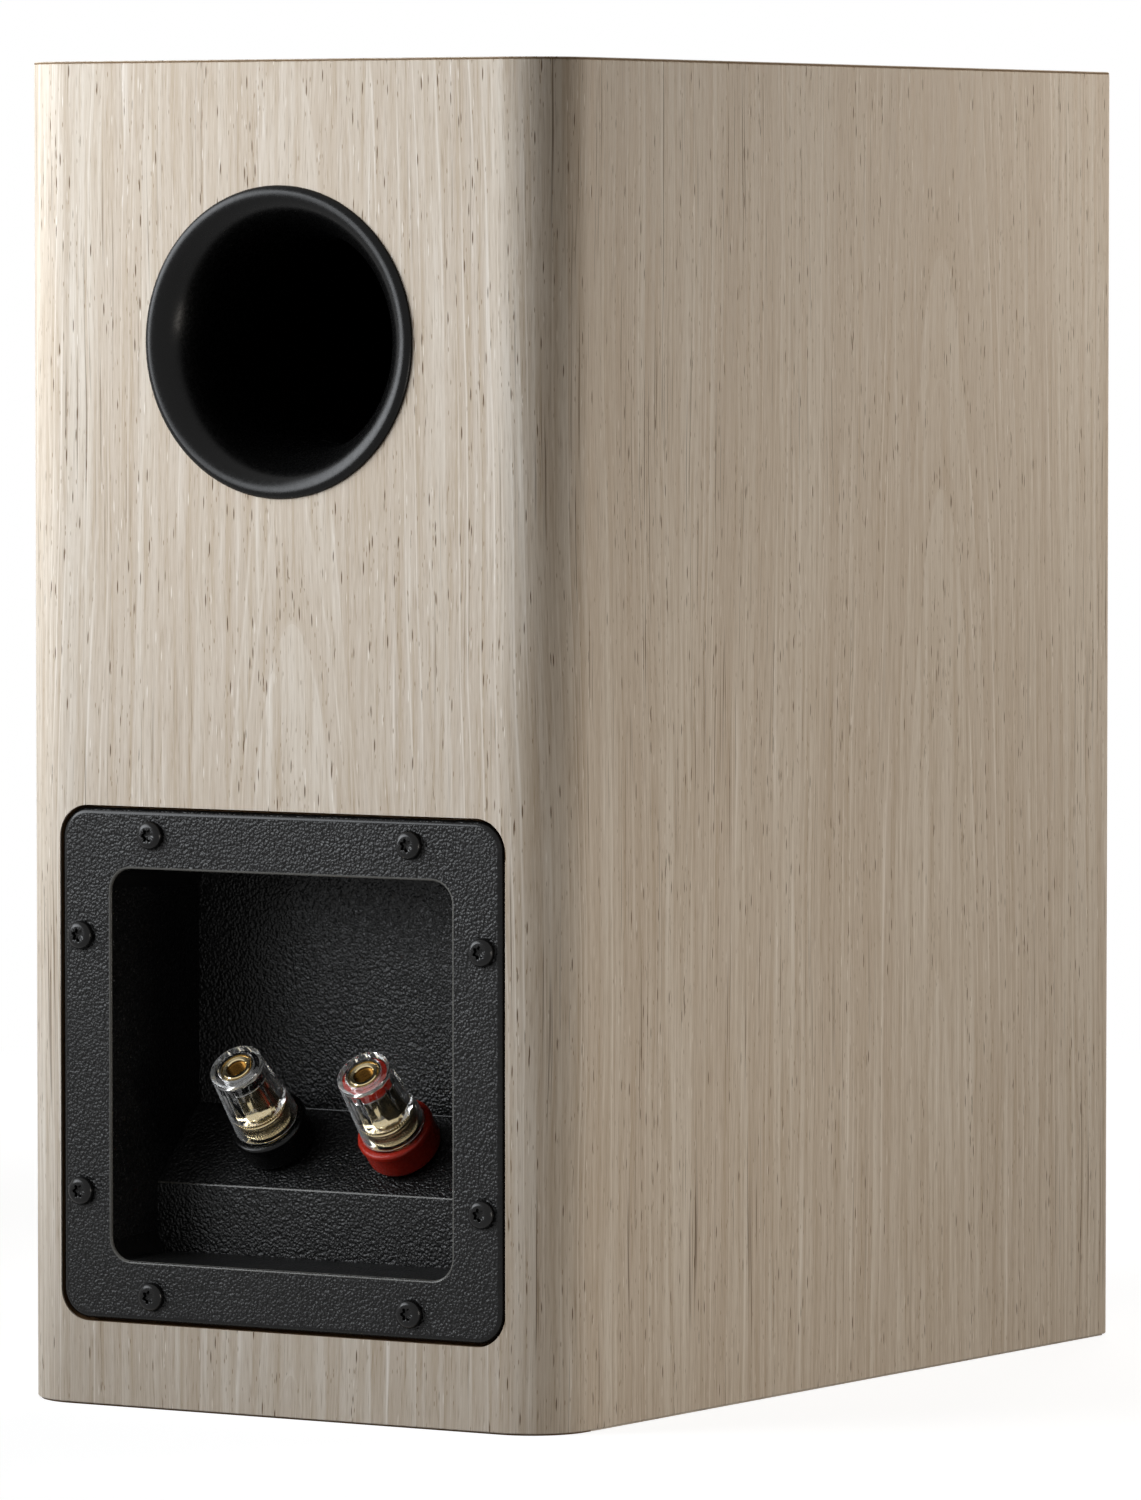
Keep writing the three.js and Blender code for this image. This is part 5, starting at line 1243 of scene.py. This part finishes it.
def make_woofer():
    place = axis_place((0, FRONT_Y, WOOFER_Z), (0, 1, 0))
    moving = {"body": "woofer_cone_set", "place": place}
    ledge = SURROUND_LEDGE
    rim = rounded([
        (BASKET_RADIUS + 1, ledge), (BASKET_RADIUS + 1, 0.9, 0.5), (BASKET_RADIUS + 2.2, 0, 0.5),
        (WOOFER_RADIUS, 0, 0.9), (WOOFER_RADIUS, WOOFER_FLANGE), (BASKET_RADIUS, WOOFER_FLANGE),
        (BASKET_INSIDE, WOOFER_FLANGE + 6), (BASKET_INSIDE, ledge),
    ], 6)
    piece("woofer_rim", revolved(rim, 192), CASTING, "basket_casting", place=place)
    radii = [CONE_LAND - (CONE_LAND - NECK_RADIUS) * i / 24 for i in range(25)]
    cone = [(CONE_RADIUS, ledge)] + [(r, cone_face(r)) for r in radii]
    piece("woofer_diaphragm", revolved(thickened(cone, CONE_THICKNESS), 160), CONE_PLASTIC,
          "cone_plastic", replaces=["woofer_cone"], **moving)
    base = cone_face(DUST_CAP_RADIUS) - CONE_THICKNESS - CLEARANCE
    dust_cap = dome_profile(DUST_CAP_RADIUS, DUST_CAP_HEIGHT, base, CONE_THICKNESS)
    piece("woofer_dome", revolved(dust_cap, 128), CONE_PLASTIC, "cone_plastic",
          replaces=["woofer_dust_cap"], **moving)

    level = ledge - SURROUND_THICKNESS
    roll = rolled(ROLL_RADIUS, level, SURROUND_ROLL, BASKET_RADIUS + 0.5, [(CONE_RADIUS - 2.6, level)], 24)
    surround = piece("woofer_roll", revolved(thickened(roll, SURROUND_THICKNESS), 192), RUBBER,
                     "surround_rubber", body=None, replaces=["woofer_surround"], place=place)
    blend_radially(surround, "cabinet", "woofer_cone_set", WOOFER_Z,
                   ROLL_RADIUS + SURROUND_ROLL, ROLL_RADIUS - SURROUND_ROLL)

    level = SPIDER_DEPTH - SPIDER_THICKNESS
    outer, inner = SPIDER_RADIUS - SPIDER_LAND, NECK_RADIUS + 2.5
    folds = [
        (outer + (inner - outer) * t, level + SPIDER_FOLD_HEIGHT * math.sin(t * SPIDER_FOLDS * TURN))
        for t in (i / 48 for i in range(49))
    ]
    weave = [(SPIDER_RADIUS, level)] + folds + [(NECK_RADIUS, level)]
    spider = piece("woofer_suspension", revolved(thickened(weave, SPIDER_THICKNESS), 96), SPIDER_CLOTH,
                   "spider_cloth", body=None, replaces=["woofer_spider"], place=place)
    blend_radially(spider, "cabinet", "woofer_cone_set", WOOFER_Z, outer, inner)
    make_driver_screws("woofer_screw", WOOFER_Z, (BASKET_RADIUS + 2 + WOOFER_RADIUS) / 2 + 0.3, 8, 3.4)


def make_tweeter():
    place = axis_place((0, FRONT_Y, TWEETER_Z), (0, 1, 0))
    throat = THROAT_RADIUS
    flare = WAVEGUIDE_RADIUS - throat
    depth = DOME_DEPTH + 1
    guide = [
        (throat + flare * t, (TWEETER_FLANGE - 0.6) * (1 - t) ** 2) for t in (i / 16 for i in range(17))
    ]
    plate = guide + rounded([
        (WAVEGUIDE_RADIUS + 1, 0), (TWEETER_RADIUS, 0, 0.7), (TWEETER_RADIUS, TWEETER_FLANGE),
        (TWEETER_BOSS_RADIUS, TWEETER_FLANGE), (TWEETER_BOSS_RADIUS, depth), (throat + 4, depth),
        (throat + 4, depth - 1), (throat, depth - 1),
    ], 6, closed=False)
    piece("tweeter_plate", revolved(plate, 160), FACEPLATE, "faceplate_black",
          replaces=["tweeter_faceplate"], place=place)
    dome = dome_profile(DOME_RADIUS, DOME_HEIGHT, DOME_DEPTH, DOME_THICKNESS)
    piece("tweeter_diaphragm", revolved(dome, 96), SILK, "dome_silk", body="tweeter_dome_set",
          replaces=["tweeter_dome"], place=place)
    inner = DOME_RADIUS + CLEARANCE
    outer = inner + 2 * TWEETER_ROLL
    roll = rolled(inner + TWEETER_ROLL, depth - DOME_THICKNESS, TWEETER_ROLL, throat + 3.6, [], 16)
    surround = piece("tweeter_roll", revolved(thickened(roll, DOME_THICKNESS), 96), SILK, "dome_silk",
                     body=None, replaces=["tweeter_surround"], place=place)
    blend_radially(surround, "cabinet", "tweeter_dome_set", TWEETER_Z, outer, inner)
    make_driver_screws("tweeter_screw", TWEETER_Z, TWEETER_RADIUS - 6, 6, 2.8)


def make_driver_screws(name, z, circle_radius, count, head_radius):
    """Socket-head screws in a driver's flange."""
    for index in range(count):
        angle = TURN * (index + 0.5) / count
        x, height = circle_radius * math.cos(angle), z + circle_radius * math.sin(angle)
        place = axis_place((x, FRONT_Y, height), (0, 1, 0))
        piece(f"{name}_{index + 1}", socket_screw(head_radius), BLACK_OXIDE, "black_screw", place=place)


def socket_screw(head):
    """A low round head with a hexagonal socket."""
    half = head * 0.55
    round_rings = ((head, 4), (head, 0.35), (head - 0.1, 0.15), (head - 0.35, 0.03), (half * 1.25, 0.03))
    socket = ((half + 0.1, 0.05), (half, 0.2), (half, 1.8))

    def hexagon(radius, along):
        return ring(lambda a: radius / math.cos(math.remainder(a, TURN / 6)), along, 48)

    return skin([
        pole(4),
        *(ring(radius, along, 48) for radius, along in round_rings),
        *(hexagon(radius, along) for radius, along in socket),
        pole(2.1),
    ])


# ---- CAD nodes that stay as they are and get a finish

CAD_FINISHES = (
    (FIBREBOARD, "left_side_board right_side_board top_board window_brace"),
    (OAK_UNDERSIDE, "bottom_board"),
    (FOAM, "left_damping_foam right_damping_foam"),
    (CASTING, "woofer_basket"),
    (ZINC, "woofer_top_plate woofer_yoke black_post_nut red_post_nut"),
    (FERRITE, "woofer_magnet tweeter_motor"),
    (PORT_PLASTIC, "tweeter_chamber"),
    (COPPER, "woofer_voice_coil tweeter_voice_coil woofer_inductor tweeter_inductor"),
    (HARDBOARD, "crossover_board"),
    (SLEEVE, "crossover_capacitor"),
    (CERAMIC, "crossover_resistor"),
    (BLACK_SHEATH, "black_input_lead woofer_lead tweeter_lead"),
    (RED_SHEATH, "red_input_lead"),
)


def dress_cad_nodes():
    for finish, nodes in CAD_FINISHES:
        for node in nodes.split():
            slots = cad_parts[node].data.materials
            slots.clear()
            slots.append(finish)


# ---- studio, in metres

CAMERA_AZIMUTH = 210.3
CAMERA_PITCH = 3.09
CAMERA_PLACE = (-1.39405, 2.3744, 0.3293)
LENS = 226
WARM = (1.0, 0.93, 0.85)
SOFTBOXES = {
    # name: (place, aim, size, power, colour, spread in degrees)
    "key": ((0.5, 0.53, 0.5), (0.05, 0.15, 0.4), (0.42, 0.7), 2.55, (0.95, 0.985, 1.03), 85),
    "side": ((-0.33, -0.42, 0.5), (-0.1, -0.2, 0.37), (0.3, 0.4), 0.36, (1.0, 0.94, 0.86), 95),
    "fill": ((-1.1, -1.25, 0.45), (-0.1, 0.0, 0.25), (0.9, 0.7), 2.1, WARM, 95),
    "low": ((-0.6, 0.2, 0.05), (-0.09, 0.05, 0.05), (0.3, 0.1), 0.36, WARM, 110),
    "front": ((0.7, -1.9, 0.9), (0.0, -0.15, 0.2), (0.9, 0.9), 14, (1, 1, 1), 180),
}
AMBIENT = (1, 0.9, 0.78)
AMBIENT_STRENGTH = 0.06
FLOOR_RADIUS = 40
FLOOR_SEEN = (0.85, 0.85, 0.85)
FLOOR_LIT = (0.42, 0.41, 0.4)
FLOOR_NEAR = 0.45
FLOOR_FAR = 1.1
FLOOR_GLOW = 0.62
FLOOR_STRENGTH = 1.38


def aimed(name, data, place, ahead, upward):
    thing = linked(name, data)
    thing.location = place
    thing.rotation_mode = "QUATERNION"
    thing.rotation_quaternion = ahead.to_track_quat("-Z", upward)
    return thing


def make_camera():
    camera = bpy.data.cameras.new("camera")
    camera.lens = LENS
    camera.sensor_width = 36
    camera.clip_end = 100
    azimuth, pitch = math.radians(CAMERA_AZIMUTH), math.radians(CAMERA_PITCH)
    level = math.cos(pitch)
    ahead = Vector((-math.sin(azimuth) * level, math.cos(azimuth) * level, -math.sin(pitch)))
    bpy.context.scene.camera = aimed("camera", camera, CAMERA_PLACE, ahead, "Y")


def make_lights():
    for name, (place, aim, size, power, colour, spread) in SOFTBOXES.items():
        light = bpy.data.lights.new(name, "AREA")
        light.shape = "RECTANGLE"
        light.size, light.size_y = size
        light.energy = power
        light.spread = math.radians(spread)
        light.color = colour
        thing = aimed(name, light, place, Vector(aim) - Vector(place), "Z")
        thing.visible_camera = False


def make_world():
    world = bpy.data.worlds.new("studio")
    bpy.context.scene.world = world
    world.use_nodes = True
    made = Nodes(world.node_tree)
    ambient = made.fill(made.nodes["Background"], {"Color": AMBIENT, "Strength": AMBIENT_STRENGTH})
    white = made.add("Background", {"Color": (1, 1, 1), "Strength": 1})
    made.mix_shaders(made.seen_or_reflected(), ambient, white, "World Output")


def floor_finish():
    """A pale floor that reads as white, keeps the object's soft shadow and bounces little light."""
    made = Finish("pale_floor")
    seen = made.seen_or_reflected()
    away = made.add("VectorMath", {0: made.object_place()}, operation="LENGTH").outputs["Value"]
    share = made.times(made.span(away, FLOOR_NEAR, FLOOR_FAR, FLOOR_GLOW, 1), seen)
    strength = made.span(away, FLOOR_NEAR, FLOOR_FAR, FLOOR_STRENGTH, 1)
    glow = made.add("Emission", {"Strength": strength})
    made.mix_shaders(share, made.shader, glow, "Material Output")
    return made.done(made.mix(seen, FLOOR_LIT, FLOOR_SEEN), 0.9, 0.0)


def make_floor():
    mesh = bpy.data.meshes.new("floor")
    mesh.from_pydata(ring(FLOOR_RADIUS, 0, 64), [], [tuple(range(64))])
    mesh.materials.append(floor_finish())
    linked("floor", mesh)


bpy.context.scene.view_settings.view_transform = "Standard"
make_camera()
make_lights()
make_world()
make_floor()
make_veneer_wrap()
make_top_veneer()
make_baffle()
make_rear_board()
make_port()
make_cup()
make_cup_screws()
make_posts()
make_woofer()
make_tweeter()
dress_cad_nodes()
